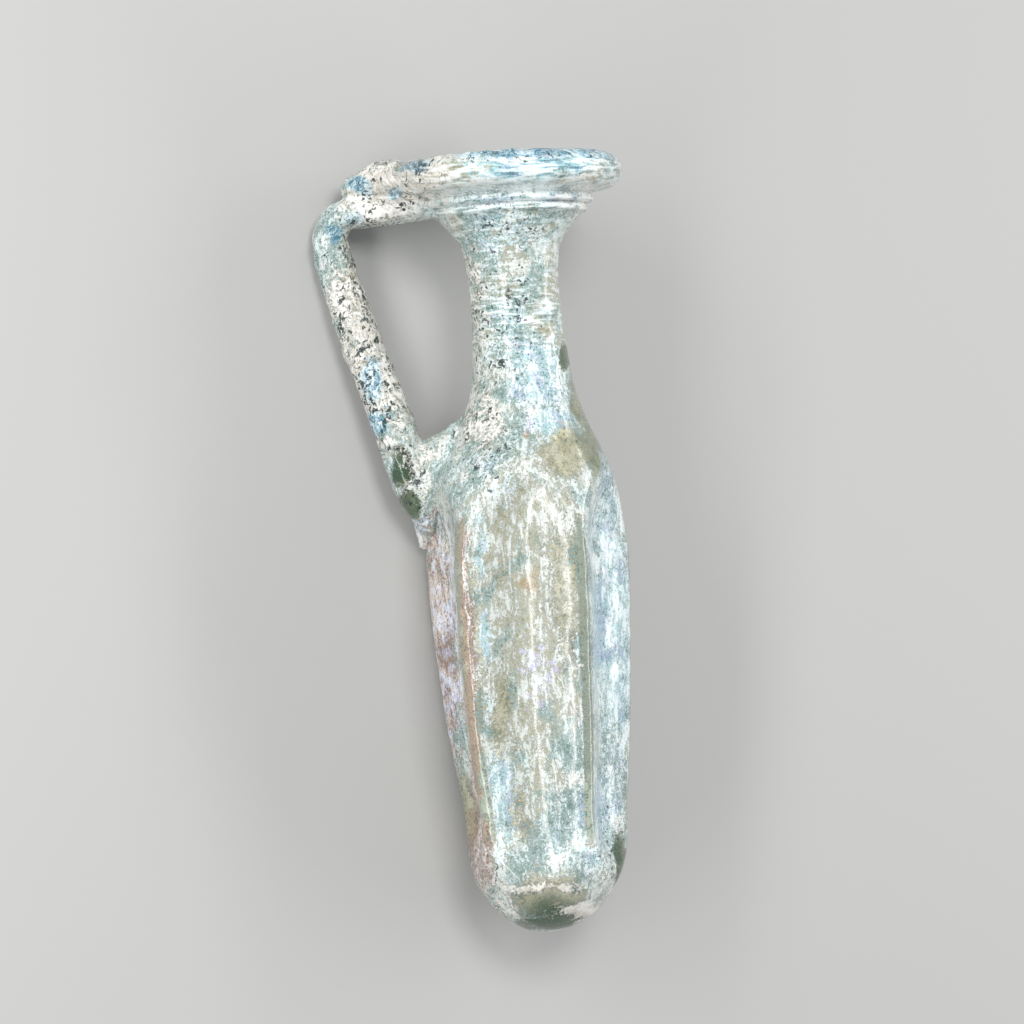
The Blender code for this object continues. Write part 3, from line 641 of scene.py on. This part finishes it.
# Soft patches by kind, in millimetres seen from the front:
# (across, height, half width, half height, amount)
FRONT_PATCHES = {
    "clean": [
        (-25.0, 98.6, 2.7, 4.2, 1.0),
        (-24.6, 90.8, 2.8, 3.0, 1.0),
        (10.4, 120.3, 1.3, 3.2, 1.0),
        (9.5, 99.8, 5.6, 5.4, 0.9),
        (8.6, 103.4, 4.4, 2.6, 0.8),
        (7.2, 72.0, 3.2, 16.0, 0.62),
        (-7.2, 47.5, 2.0, 9.0, 0.7),
        (-11.6, 58.0, 1.6, 28.0, 0.5),
        (-15.8, 25.3, 2.9, 8.5, 0.95),
        (0.5, 8.5, 8.5, 4.6, 0.85),
        (1.2, 2.9, 7.5, 2.4, 1.0),
        (16.4, 13.0, 1.7, 7.0, 1.0),
        (14.6, 102.0, 1.8, 7.0, 0.95),
        (12.6, 110.8, 1.6, 6.0, 0.95),
        (-4.0, 25.0, 2.0, 6.0, 0.5),
    ],
    "green": [
        (-25.0, 98.3, 4.5, 5.0, 1.0),
        (-24.6, 91.0, 4.5, 4.0, 0.9),
        (10.4, 120.3, 2.5, 5.0, 0.9),
        (0.8, 2.8, 9.0, 5.0, 1.0),
        (15.3, 13.6, 3.0, 9.0, 1.0),
        (14.6, 102.0, 2.5, 9.0, 0.6),
        (12.6, 110.8, 2.5, 7.0, 0.5),
    ],
    "cyan": [
        (5.9, 160.2, 16.0, 4.5, 0.95),
        (6.0, 153.0, 15.0, 2.6, 0.75),
        (-2.2, 146.6, 8.0, 5.0, 0.75),
        (-3.2, 126.7, 8.0, 9.0, 0.6),
        (3.6, 116.8, 7.0, 8.0, 0.9),
        (6.2, 106.4, 5.0, 3.2, 1.0),
        (-5.9, 95.3, 5.0, 7.0, 0.55),
        (-9.7, 82.8, 1.8, 9.0, 0.8),
        (-9.6, 63.5, 2.0, 5.5, 0.95),
        (-8.4, 28.1, 4.0, 13.0, 0.85),
        (17.0, 64.6, 5.0, 33.0, 0.95),
        (12.3, 22.8, 6.0, 12.0, 0.85),
        (4.0, 20.0, 6.0, 7.0, 0.5),
        (-33.1, 158.3, 2.5, 2.0, 0.9),
        (-35.8, 147.3, 3.0, 3.5, 0.6),
        (-28.5, 112.0, 3.5, 9.0, 0.85),
        (-33.5, 128.0, 1.8, 6.0, 0.8),
        (-24.8, 156.6, 1.5, 1.5, 0.8),
    ],
    "lilac": [
        (1.4, 54.9, 4.2, 8.5, 1.0),
        (-17.6, 62.2, 3.6, 26.0, 0.95),
        (1.4, 106.4, 1.6, 3.2, 1.0),
        (15.2, 77.3, 3.0, 6.0, 0.7),
        (-22.1, 87.1, 2.2, 2.8, 0.9),
        (5.0, 118.0, 4.0, 6.0, 0.35),
    ],
    "pink": [
        (-19.6, 60.4, 4.2, 28.0, 1.0),
        (-13.2, 17.8, 3.0, 10.0, 0.9),
        (-13.2, 56.0, 1.5, 34.0, 0.95),
        (-30.5, 108.0, 1.5, 14.0, 0.5),
    ],
    "cream": [
        (-30.0, 128.0, 9.0, 26.0, 0.79),
        (-27.0, 156.0, 9.0, 7.0, 0.9),
        (-18.0, 159.0, 6.0, 7.0, 0.8),
        (-8.0, 134.0, 4.0, 14.0, 0.5),
        (2.0, 136.0, 7.0, 8.0, 0.35),
        (-8.5, 108.0, 6.5, 8.0, 0.55),
        (-22.0, 100.5, 4.5, 4.5, 0.5),
        (7.4, 4.8, 3.6, 2.6, 1.0),
        (0.0, 10.6, 10.0, 1.1, 0.8),
        (-8.0, 5.5, 3.0, 4.0, 0.6),
        (8.5, 50.0, 2.5, 14.0, 0.4),
        (16.0, 153.0, 8.0, 7.0, 0.5),
    ],
    "beige": [
        (-1.0, 66.0, 10.0, 30.0, 0.85),
        (-5.4, 66.0, 4.0, 14.0, 0.6),
        (-3.0, 32.0, 6.0, 14.0, 0.5),
        (-31.0, 138.0, 3.0, 5.0, 0.5),
        (-25.0, 153.0, 2.2, 2.4, 0.7),
        (4.0, 92.0, 6.0, 10.0, 0.4),
    ],
    "ochre": [
        (0.3, 73.9, 1.6, 1.9, 0.8),
        (1.6, 103.8, 0.7, 0.8, 0.9),
    ],
    "deep": [
        (18.3, 161.9, 8.0, 1.6, 1.0),
        (0.0, 162.6, 10.0, 1.8, 1.0),
        (6.0, 158.4, 12.0, 1.1, 0.55),
        (-19.1, 161.0, 4.2, 2.0, 0.7),
        (-31.3, 158.3, 2.6, 1.9, 1.0),
        (-24.2, 156.6, 1.5, 1.3, 1.0),
        (-37.1, 148.7, 1.6, 2.2, 0.8),
        (-33.0, 151.5, 2.4, 1.4, 0.6),
        (-30.8, 117.4, 2.4, 4.4, 0.8),
        (-29.8, 108.3, 1.8, 3.0, 0.8),
        (4.0, 145.5, 5.0, 4.0, 0.35),
    ],
    "teal": [
        (-30.0, 130.0, 9.0, 28.0, 0.75),
        (-27.0, 157.0, 9.0, 6.0, 0.6),
        (-4.0, 127.0, 8.0, 14.0, 0.55),
        (-19.1, 160.6, 4.4, 2.4, 1.0),
        (-2.0, 146.0, 9.0, 6.0, 0.5),
        (-8.0, 103.0, 6.0, 8.0, 0.6),
        (-23.0, 95.0, 4.0, 6.0, 0.6),
        (4.0, 161.5, 14.0, 1.8, 0.3),
        (-12.0, 12.0, 3.0, 8.0, 0.4),
        (14.5, 18.0, 3.0, 8.0, 0.5),
    ],
}
PATCH_KINDS = tuple(FRONT_PATCHES)
BACK_LEVELS = {
    "clean": 0.22,
    "green": 0.2,
    "cyan": 0.5,
    "lilac": 0.25,
    "pink": 0.2,
    "cream": 0.4,
    "beige": 0.3,
    "ochre": 0.0,
    "deep": 0.0,
    "teal": 0.35,
}
BACK_SEED = 41
BACK_PATCH_COUNT = 9
PATCH_WARP_SIZE = 4.5
PATCH_WARP = 1.5
PATCH_REACH = 1.6
PATCH_SOFTNESS = 1.15

# Bare crests of the ridges, in metres up the flask
CREST_WIDTH = math.radians(5.0)
CREST_BARENESS = 0.95
CREST_START = DENT_BOTTOM_HEIGHT + 0.004
CREST_START_FADE = 0.010
CREST_END = DENT_TOP_HEIGHT - 0.004
CREST_END_FADE = 0.012

# Fine lines from turning: a band of them on the neck (height, reach, strength), and how strong
# they are from the neck's foot up and on the ribs and rim
NECK_BAND = (0.131, 0.010, 0.35)
NECK_TURNING = 0.30
RIM_TURNING = 0.6
# Painted light on the two ribs, which lifts the shade under the rim's undercut: middle height,
# how far up and down, and how full
RIBBED_HEIGHT = 0.1535
RIBBED_REACH = 0.0025
RIBBED_FULLNESS = 1.6

# Arcs of drawn glass round the handle's end on the rim and along the ribs, in millimetres
STRAND_START_ACROSS = -15.6
STRAND_HEIGHT = 163.1
STRAND_ZONES = [(-21.5, 157.0, 7.0, 6.5, 1.0), (-17.0, 152.0, 6.0, 5.0, 0.8)]


def noise_values(places, size, seed):
    """Smooth noise from about -1 to 1 at places, with lumps of a size in the places' units."""
    shift = Vector((seed * 7.3, seed * 3.1, seed * 5.7))
    return np.array([noise.noise(Vector(place) / size + shift) for place in places])


def patch_weight(across, up, patch):
    """Weight of a soft patch at places in the front view."""
    middle_across, middle_up, half_width, half_height, amount = patch
    reach = np.hypot((across - middle_across) / half_width, (up - middle_up) / half_height)
    return amount * smooth_step((PATCH_REACH - reach) / PATCH_SOFTNESS)


def back_patches():
    """Soft patches of the hidden side, scattered at random over the body, neck and handle."""
    drawn = random.Random(BACK_SEED)
    patches = {}
    for kind in PATCH_KINDS:
        patches[kind] = []
        for _ in range(BACK_PATCH_COUNT):
            place = (drawn.uniform(-24.0, 22.0), drawn.uniform(4.0, 158.0))
            size = (drawn.uniform(2.0, 5.0), drawn.uniform(4.0, 15.0))
            patches[kind].append((*place, *size, drawn.uniform(0.4, 0.9)))
    return patches


def surface_levels(places, normals):
    """Level of each kind of weathering at each vertex, from 0 to 1."""
    millimetres = places * 1000.0
    warp_across = noise_values(millimetres, PATCH_WARP_SIZE, 1) * PATCH_WARP
    warp_up = noise_values(millimetres, PATCH_WARP_SIZE, 2) * PATCH_WARP
    across = millimetres[:, 0] + warp_across
    up = millimetres[:, 2] + warp_up
    front = smooth_step((0.30 - normals[:, 1]) / 0.6)
    hidden = back_patches()
    levels = {}
    for kind in PATCH_KINDS:
        seen = np.zeros(len(places))
        for patch in FRONT_PATCHES[kind]:
            seen = np.maximum(seen, patch_weight(across, up, patch))
        behind = np.full(len(places), BACK_LEVELS[kind])
        for patch in hidden[kind]:
            behind = np.maximum(behind, patch_weight(across, up, patch))
        levels[kind] = between(behind, seen, front)
    return levels


def crest_levels(places, depth):
    """How near the crest of a ridge between two dents a place lies, from 0 to 1."""
    height = places[:, 2]
    x = places[:, 0] - smooth_through(AXIS_DRIFT, height)
    turn = np.arctan2(x, -places[:, 1])
    apart = np.full(len(places), 1.0)
    for index in range(-3, DENT_COUNT):
        crest = panel_azimuth((index + 0.5) * DENT_PITCH, height)
        offset = (turn - crest + math.pi) % (2.0 * math.pi) - math.pi
        apart = np.minimum(apart, np.abs(offset))
    along = smooth_step((height - CREST_START) / CREST_START_FADE)
    along = along * smooth_step((CREST_END - height) / CREST_END_FADE)
    near = smooth_step((CREST_WIDTH - apart) / (0.6 * CREST_WIDTH))
    return CREST_BARENESS * along * (depth > -VESSEL_PROUD) * near


def turned_levels(places, depth):
    """How strongly the fine lines from turning show, from 0 to 1."""
    height = places[:, 2]
    middle, reach, strength = NECK_BAND
    lines = NECK_TURNING * smooth_step((height - NECK_FOOT_HEIGHT) / 0.008)
    lines = lines + RIM_TURNING * smooth_step((height - RIBS_HEIGHT + 0.001) / 0.002)
    lines += strength * smooth_step(1.0 - np.abs(height - middle) / reach)
    return lines * (depth > -VESSEL_PROUD) * (depth < INSIDE_DEPTH)


def strand_levels(places, normals):
    """Distance across the drawn strands in millimetres, and how strongly they show."""
    across, up = places[:, 0] * 1000.0, places[:, 2] * 1000.0
    beside = np.minimum(0.0, across - STRAND_START_ACROSS)
    distance = np.hypot(beside, up - STRAND_HEIGHT)
    zone = np.zeros(len(places))
    for patch in STRAND_ZONES:
        zone = np.maximum(zone, patch_weight(across, up, patch))
    return distance, zone * smooth_step(-normals[:, 1] / 0.4)


def shape_flask():
    """Model the glass: vessel, handle, molten joins and hand-made unevenness."""
    flask = join_handle(vessel_mesh(), handle_mesh())
    mesh = flask.data
    places, normals = surface_arrays(mesh)
    depth = depth_inside(places)
    on_handle = depth < -HANDLE_PROUD
    size = np.where(on_handle, HANDLE_LUMP_SIZE, LUMP_SIZE)
    lumps = noise_values(places / size[:, None], 1.0, 3)
    lumps += 0.5 * noise_values(places / size[:, None], SMALL_LUMP_SHARE, 4)
    outside = depth < INSIDE_DEPTH
    height = np.where(on_handle, HANDLE_LUMP_HEIGHT, LUMP_HEIGHT) * lumps * outside
    height *= smooth_step(np.hypot(places[:, 0], places[:, 1]) / LUMPLESS_TIP_RADIUS)
    mesh.vertices.foreach_set("co", (places + normals * height[:, None]).ravel())
    return flask


def lay_down(flask):
    """Lay the upright flask down where the CAD part lies, flat where it meets the floor."""
    turn = Matrix.Rotation(LYING_TILT, 4, "X") @ Matrix.Rotation(LYING_ROLL, 4, "Z")
    pose = Matrix.Translation(BASE_TIP) @ turn
    flask.data.transform(pose)
    for vertex in flask.data.vertices:
        vertex.co.z = max(0.0, vertex.co.z)
    return pose


def store(mesh, name, values):
    """Keep a level or a place at each vertex, for the material to read."""
    kind, slot = ("FLOAT", "value") if np.ndim(values) == 1 else ("FLOAT_VECTOR", "vector")
    attribute = mesh.attributes.new(name, kind, "POINT")
    attribute.data.foreach_set(slot, np.asarray(values, np.float32).ravel())


# ---- Material ----


def colour(red, green, blue):
    """Linear colour of a screen colour given as 0 to 255."""
    shares = [part / 255.0 for part in (red, green, blue)]
    linear = [((s + 0.055) / 1.055) ** 2.4 if s > 0.04045 else s / 12.92 for s in shares]
    return (*linear, 1.0)


class Shader:
    """Adds and wires the nodes of one material."""

    def __init__(self, name):
        self.material = bpy.data.materials.new(name)
        self.material.use_nodes = True
        self.tree = self.material.node_tree
        self.surface = self.tree.nodes["Principled BSDF"]

    def wire(self, value, socket):
        """Link a socket, or set a plain value."""
        if isinstance(value, bpy.types.NodeSocket):
            self.tree.links.new(value, socket)
        else:
            socket.default_value = value

    def add(self, kind, **values):
        """New node of a kind, with values or links on its named sockets."""
        node = self.tree.nodes.new("ShaderNode" + kind)
        for name, value in values.items():
            self.wire(value, node.inputs[name])
        return node

    def sum(self, operation, first, second=0.0, third=0.0, clamp=False):
        """Result of one step of arithmetic."""
        node = self.add("Math")
        node.operation = operation
        node.use_clamp = clamp
        for socket, value in zip(node.inputs, (first, second, third)):
            self.wire(value, socket)
        return node.outputs[0]

    def product(self, first, second):
        """One value times another."""
        return self.sum("MULTIPLY", first, second)

    def total(self, first, second, clamp=False):
        """One value plus another."""
        return self.sum("ADD", first, second, clamp=clamp)

    def scaled(self, value, scale, offset, clamp=False):
        """Value times a scale, plus an offset."""
        return self.sum("MULTIPLY_ADD", value, scale, offset, clamp)

    def level(self, name, output="Fac"):
        """Value kept at the vertices under a name."""
        node = self.add("Attribute")
        node.attribute_name = name
        return node.outputs[output]

    def stretched(self, vector, scale):
        """Coordinates stretched by a scale on each axis."""
        return self.add("Mapping", Vector=vector, Scale=scale).outputs[0]

    def grain(self, vector, scale, detail, roughness, distortion):
        """Cloudy noise from 0 to 1."""
        node = self.add("TexNoise", Vector=vector, Scale=scale, Detail=detail)
        self.wire(roughness, node.inputs["Roughness"])
        self.wire(distortion, node.inputs["Distortion"])
        return node.outputs["Fac"]

    def cells(self, vector, scale, smoothness):
        """Rounded cells, 0 in the middle of each."""
        node = self.add("TexVoronoi")
        node.feature = "SMOOTH_F1"
        self.wire(vector, node.inputs["Vector"])
        self.wire(scale, node.inputs["Scale"])
        self.wire(smoothness, node.inputs["Smoothness"])
        return node.outputs["Distance"]

    def edge(self, value, low, high, to_low=0.0, to_high=1.0):
        """Smooth step of a value between two levels."""
        node = self.add("MapRange")
        node.interpolation_type = "SMOOTHSTEP"
        for socket, given in zip(node.inputs[:5], (value, low, high, to_low, to_high)):
            self.wire(given, socket)
        return node.outputs[0]

    def blend(self, share, low, high):
        """Colour between two colours."""
        node = self.add("Mix")
        node.data_type = "RGBA"
        self.wire(share, node.inputs[0])
        self.wire(low, node.inputs[6])
        self.wire(high, node.inputs[7])
        return node.outputs[2]

    def ramp(self, value, stops):
        """Colour at a value, from (place, colour) stops."""
        node = self.add("ValToRGB", Fac=value)
        elements = node.color_ramp.elements
        while len(elements) < len(stops):
            elements.new(0.5)
        for element, (place, tint) in zip(elements, stops):
            element.position = place
            element.color = tint
        return node.outputs[0]

    def bump(self, height, distance):
        """Surface direction with a relief of this height in metres."""
        return self.add("Bump", Distance=distance, Height=height).outputs[0]


# Screen colours of each kind of skin, from its gaps to its flakes, at these tones
TONE_PLACES = (0.420, 0.486, 0.512, 0.585)
SKIN_COLOURS = {
    "cool": ((110, 138, 131), (177, 200, 193), (215, 238, 237), (244, 255, 255)),
    "warm": ((152, 150, 122), (197, 196, 174), (223, 229, 220), (247, 251, 247)),
    "lilac": ((146, 136, 150), (190, 182, 204), (217, 219, 243), (244, 247, 254)),
    "pink": ((142, 112, 98), (184, 152, 138), (220, 200, 190), (248, 241, 237)),
    "cream": ((150, 158, 148), (224, 218, 205), (242, 236, 225), (254, 253, 248)),
    "film": ((108, 156, 164), (170, 213, 220), (209, 243, 247), (244, 254, 255)),
    "blue": ((116, 144, 172), (176, 203, 228), (207, 228, 249), (243, 250, 254)),
    "deep": ((24, 60, 84), (76, 142, 172), (128, 196, 220), (232, 248, 253)),
}
GLASS_OLIVE = colour(232, 230, 204)
GLASS_OLIVE_SHADE = colour(206, 202, 168)
GLASS_GREEN = colour(50, 84, 52)
GLASS_BROWN = colour(204, 182, 158)
GLASS_GREY = colour(178, 190, 172)
OCHRE = colour(186, 148, 92)
PIT_TEAL = colour(24, 54, 52)
FLECK = colour(252, 254, 252)
FLAKE_RELIEF = 0.00016


def weathered_glass():
    """Old glass under a weathered skin: clean windows, iridescent films, crust and pits."""
    glass = Shader("weathered_glass")
    edge, blend, grain = glass.edge, glass.blend, glass.grain
    product, total, scaled = glass.product, glass.total, glass.scaled
    upright = glass.level("upright", "Vector")
    skin = glass.stretched(upright, (1000.0, 1000.0, 1000.0))
    turned = glass.stretched(upright, (260.0, 260.0, 1500.0))
    lengthwise = glass.stretched(upright, (1400.0, 1400.0, 330.0))
    level = {kind: glass.level(kind) for kind in (*PATCH_KINDS, "crest")}
    inner = glass.level("inner")
    outer = glass.sum("SUBTRACT", 1.0, inner)
    on_rim = glass.level("turned")

    broad = grain(skin, 0.13, 3.0, 0.55, 0.5)
    middle = grain(skin, 0.42, 5.0, 0.66, 1.0)
    other = grain(glass.stretched(skin, (1.0, 1.3, 0.8)), 0.75, 6.0, 0.72, 1.6)
    fine = grain(skin, 1.0, 5.0, 0.68, 2.0)
    finest = grain(skin, 3.2, 3.0, 0.6, 0.8)
    blots = grain(skin, 0.76, 2.0, 0.55, 1.2)
    clusters = edge(grain(skin, 0.26, 2.0, 0.5, 0.6), 0.46, 0.56)
    veins = grain(lengthwise, 0.7, 5.0, 0.68, 1.3)
    veils = grain(lengthwise, 0.34, 4.0, 0.58, 1.6)
    streak = grain(turned, 0.9, 3.0, 0.54, 0.4)
    rosettes = glass.cells(skin, 0.42, 0.6)
    worms = edge(glass.sum("ABSOLUTE", glass.sum("SUBTRACT", fine, 0.5)), 0.045, 0.0)

    def mixed(*parts):
        """Sum of textures, each with its share."""
        so_far = 0.0
        for texture, share in parts:
            so_far = scaled(texture, share, so_far)
        return so_far

    def covered(amount, texture, push, low=0.20, high=0.26, contrast=2.0):
        """Where a layer lies: its level pushes its texture past a threshold."""
        uneven = scaled(texture, contrast, -0.5 * contrast)
        return edge(scaled(amount, push, uneven), low, high)

    def skin_colour(kind, tone):
        """Colour of one kind of skin at a tone."""
        tints = [colour(*part) for part in SKIN_COLOURS[kind]]
        return glass.ramp(tone, list(zip(TONE_PLACES, tints)))

    patchy = mixed((middle, 0.5), (other, 0.5))
    ragged = mixed((middle, 0.35), (other, 0.35), (fine, 0.3))
    torn = mixed((middle, 0.25), (other, 0.30), (fine, 0.45))
    thickness = mixed((middle, 0.45), (broad, 0.35), (other, 0.20))
    tone = mixed((fine, 0.42), (other, 0.20), (veins, 0.26), (finest, 0.12), (worms, 0.02))
    tone = total(tone, scaled(thickness, 0.68, -0.34))
    veiled = mixed((veils, 0.34), (thickness, 0.40), (fine, 0.14), (veins, 0.12))
    calm = scaled(level["beige"], 0.12, mixed((broad, 0.5), (veils, 0.5)))
    calm = product(edge(calm, 0.46, 0.58), edge(level["teal"], 0.5, 0.1))
    change = glass.sum("SUBTRACT", veiled, tone)
    tone = scaled(change, product(calm, 0.85), tone)
    bareness = glass.sum("MAXIMUM", level["clean"], level["crest"])
    # Painted highlight: lighter lines along both sides of the bare ridge crests stand in for the
    # glint on the ridges; the same lighter lines run along the edges of the clean windows
    ridge_highlight_and_window_edge = product(edge(bareness, 0.12, 0.35), edge(bareness, 0.75, 0.45))
    tone = mixed((tone, 1.0), (level["clean"], -0.03), (ridge_highlight_and_window_edge, 0.045))
    long_tone = mixed((streak, 0.80), (fine, 0.12), (middle, 0.10))
    long_tone = total(long_tone, -0.010)
    change = glass.sum("SUBTRACT", long_tone, tone)
    tone = total(tone, product(on_rim, change))
    strand = mixed((glass.level("strand"), 4.4), (middle, 9.0), (fine, 2.0))
    waves = product(glass.sum("SINE", strand), glass.level("strand_zone"))
    tone = scaled(waves, 0.028, tone)
    # Painted light: a lighter tone on the two ribs, against the shade under the rim's undercut
    tone = scaled(glass.level("rib_painted_light"), 0.045, tone)

    window = covered(bareness, torn, 0.44, 0.20, 0.27, 2.8)
    film = covered(level["cyan"], torn, 0.36)
    scales = mixed((rosettes, -0.42), (fine, 0.6), (other, 0.4))
    lilac = covered(level["lilac"], scales, 0.46, 0.02, 0.10)
    pink = covered(level["pink"], patchy, 0.42, 0.18, 0.30)
    deep = covered(level["deep"], torn, 0.46)
    crust = product(covered(level["cream"], ragged, 0.42), outer)
    crust = scaled(deep, -0.9, crust, clamp=True)
    warm = edge(scaled(level["beige"], 0.20, broad), 0.47, 0.62)
    pitted = product(level["teal"], scaled(clusters, 0.65, 0.35))
    specks = mixed((blots, 0.62), (middle, 0.26), (finest, 0.12))
    pits = covered(pitted, specks, 0.31, 0.275, 0.300, 2.4)
    pits = product(pits, product(outer, edge(level["teal"], 0.02, 0.15)))
    flecks = product(edge(mixed((finest, 0.6), (other, 0.4)), 0.55, 0.61), outer)

    tint = blend(warm, skin_colour("cool", tone), skin_colour("warm", tone))
    tint = blend(pink, tint, skin_colour("pink", tone))
    blueness = edge(mixed((broad, -0.5), (middle, 0.5)), 0.01, 0.07)
    lighter = total(tone, 0.02)
    film_tint = blend(blueness, skin_colour("film", lighter), skin_colour("blue", lighter))
    tint = blend(film, tint, film_tint)
    tint = blend(deep, tint, skin_colour("deep", lighter))
    tint = blend(lilac, tint, skin_colour("lilac", lighter))
    crust_tone = scaled(tone, 0.48, 0.278)
    tint = blend(crust, tint, skin_colour("cream", crust_tone))
    light = edge(mixed((middle, 0.4), (broad, 0.6)), 0.40, 0.58)
    olive = blend(light, GLASS_OLIVE_SHADE, GLASS_OLIVE)
    olive = blend(edge(level["crest"], 0.2, 0.8), olive, GLASS_GREY)
    olive = blend(edge(level["pink"], 0.35, 0.8), olive, GLASS_BROWN)
    clean_tint = blend(level["green"], olive, GLASS_GREEN)
    window = scaled(crust, -0.9, window, clamp=True)
    bare = glass.sum("MAXIMUM", window, product(inner, 0.6))
    tint = blend(bare, tint, clean_tint)
    tint = blend(product(level["ochre"], 0.8), tint, OCHRE)
    tint = blend(product(pits, 0.94), tint, PIT_TEAL)
    fleck_share = scaled(window, -0.78, 0.8)
    tint = blend(product(flecks, fleck_share), tint, FLECK)
    glass.wire(tint, glass.surface.inputs["Base Color"])

    thick = glass.sum("MAXIMUM", glass.sum("MAXIMUM", film, lilac), crust)
    see_through = edge(bare, 0.0, 1.0, 0.12, 0.40)
    dimmed = mixed((thick, -0.85), (level["green"], -0.5))
    see_through = product(see_through, total(dimmed, 1.0, clamp=True))
    glass.wire(see_through, glass.surface.inputs["Transmission Weight"])
    rough = edge(scaled(crust, 0.5, thick), 0.0, 1.5, 0.20, 0.52)
    glass.wire(scaled(fine, 0.15, rough), glass.surface.inputs["Roughness"])

    covering = glass.sum("SUBTRACT", 1.0, product(bare, 0.85))
    flaked = edge(tone, 0.480, 0.520)
    relief = mixed((flaked, 0.5), (tone, 1.6), (crust, 0.3), (finest, 0.3))
    relief = product(relief, covering)
    relief = scaled(pits, -0.35, relief)
    relief = scaled(waves, 0.9, relief)
    glass.wire(glass.bump(relief, FLAKE_RELIEF), glass.surface.inputs["Normal"])

    glass.surface.inputs["IOR"].default_value = 1.5
    polish = mixed((crust, -0.55), (pits, -0.3), (on_rim, -0.2))
    glass.wire(total(polish, 0.8, clamp=True), glass.surface.inputs["Coat Weight"])
    glass.surface.inputs["Coat Roughness"].default_value = 0.16
    return glass.material


def floor_material():
    """Plain pale studio floor."""
    plain = Shader("studio_floor")
    plain.surface.inputs["Base Color"].default_value = colour(186, 185, 183)
    plain.surface.inputs["Roughness"].default_value = 0.85
    return plain.material


# ---- Stage ----

FLOOR_HALF_WIDTH = 4.0
DAYLIGHT = (0.93, 0.97, 1.0, 1.0)
DAYLIGHT_STRENGTH = 0.43
LIGHT_TARGET = Vector((0.0, 0.0, 0.02))

# Name, place, size and watts of each soft light
LIGHTS = [
    ("key", (-0.12, 0.32, 0.78), (0.30, 0.30), 2.8),
    ("right_strip", (0.50, 0.0, 0.30), (0.8, 0.07), 1.8),
    ("left_strip", (-0.48, 0.05, 0.30), (0.8, 0.07), 2.5),
]


def add_floor():
    """Pale floor that the flask lies on."""
    mesh = bpy.data.meshes.new("floor")
    half = FLOOR_HALF_WIDTH
    corners = [(-half, -half, 0.0), (half, -half, 0.0), (half, half, 0.0), (-half, half, 0.0)]
    mesh.from_pydata(corners, [], [(0, 1, 2, 3)])
    floor = add_object("floor", mesh)
    floor.data.materials.append(floor_material())
    floor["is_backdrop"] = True


def add_camera(pose):
    """Camera at the photograph's angle to the flask, with its frame."""
    right = Vector((math.cos(VIEW_TILT), 0.0, -math.sin(VIEW_TILT)))
    up = Vector((math.sin(VIEW_TILT), 0.0, math.cos(VIEW_TILT)))
    back = Vector((0.0, -1.0, 0.0))
    turn = Matrix((right, up, back)).transposed().to_4x4()
    lens = bpy.data.cameras.new("camera")
    lens.sensor_width = SENSOR_WIDTH_MM
    lens.lens = SENSOR_WIDTH_MM * VIEW_DISTANCE / VIEW_SPAN
    lens.clip_start = 0.01
    camera = add_object("camera", lens)
    place = Matrix.Translation((VIEW_ACROSS, -VIEW_DISTANCE, VIEW_HEIGHT))
    camera.matrix_world = pose @ place @ turn
    bpy.context.scene.camera = camera


def add_light(name, place, size, watts):
    """Soft square light that shines at the flask from a place."""
    lamp = bpy.data.lights.new(name, "AREA")
    lamp.shape = "RECTANGLE"
    lamp.size, lamp.size_y = size
    lamp.energy = watts
    light = add_object(name, lamp)
    light.location = place
    light.rotation_euler = (LIGHT_TARGET - Vector(place)).to_track_quat("-Z", "Y").to_euler()


def light_studio():
    """Soft daylight all round, and three soft lights."""
    world = bpy.data.worlds.new("studio")
    bpy.context.scene.world = world
    world.use_nodes = True
    backdrop = world.node_tree.nodes["Background"]
    backdrop.inputs["Color"].default_value = DAYLIGHT
    backdrop.inputs["Strength"].default_value = DAYLIGHT_STRENGTH
    for light in LIGHTS:
        add_light(*light)


def store_weathering(mesh):
    """Keep at each vertex what the material reads: its upright place and its levels."""
    places, normals = surface_arrays(mesh)
    depth = depth_inside(places)
    height = places[:, 2]
    store(mesh, "upright", places)
    below_flare = smooth_step((FLARE_HEIGHT - height) / 0.01)
    store(mesh, "inner", (depth > INSIDE_DEPTH) * below_flare)
    for kind, values in surface_levels(places, normals).items():
        store(mesh, kind, values)
    store(mesh, "crest", crest_levels(places, depth))
    distance, zone = strand_levels(places, normals)
    store(mesh, "strand", distance)
    store(mesh, "strand_zone", zone)
    # Painted light on the two ribs, against the shade under the rim's undercut
    from_ribs = np.abs(height - RIBBED_HEIGHT) / RIBBED_REACH
    store(mesh, "rib_painted_light", smooth_step(RIBBED_FULLNESS - from_ribs))
    store(mesh, "turned", turned_levels(places, depth))


def build():
    """Model, finish and light the flask."""
    flask = shape_flask()
    store_weathering(flask.data)
    pose = lay_down(flask)
    flask.data.polygons.foreach_set("use_smooth", [True] * len(flask.data.polygons))
    flask.data.materials.clear()
    flask.data.materials.append(weathered_glass())
    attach(flask, "root")
    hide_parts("flask")
    add_floor()
    add_camera(pose)
    light_studio()
    bpy.context.scene.view_settings.view_transform = "Standard"


build()
for key, box in (("cad", cad_box), ("visual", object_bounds())):
    [[float(value) for value in corner] for corner in box]
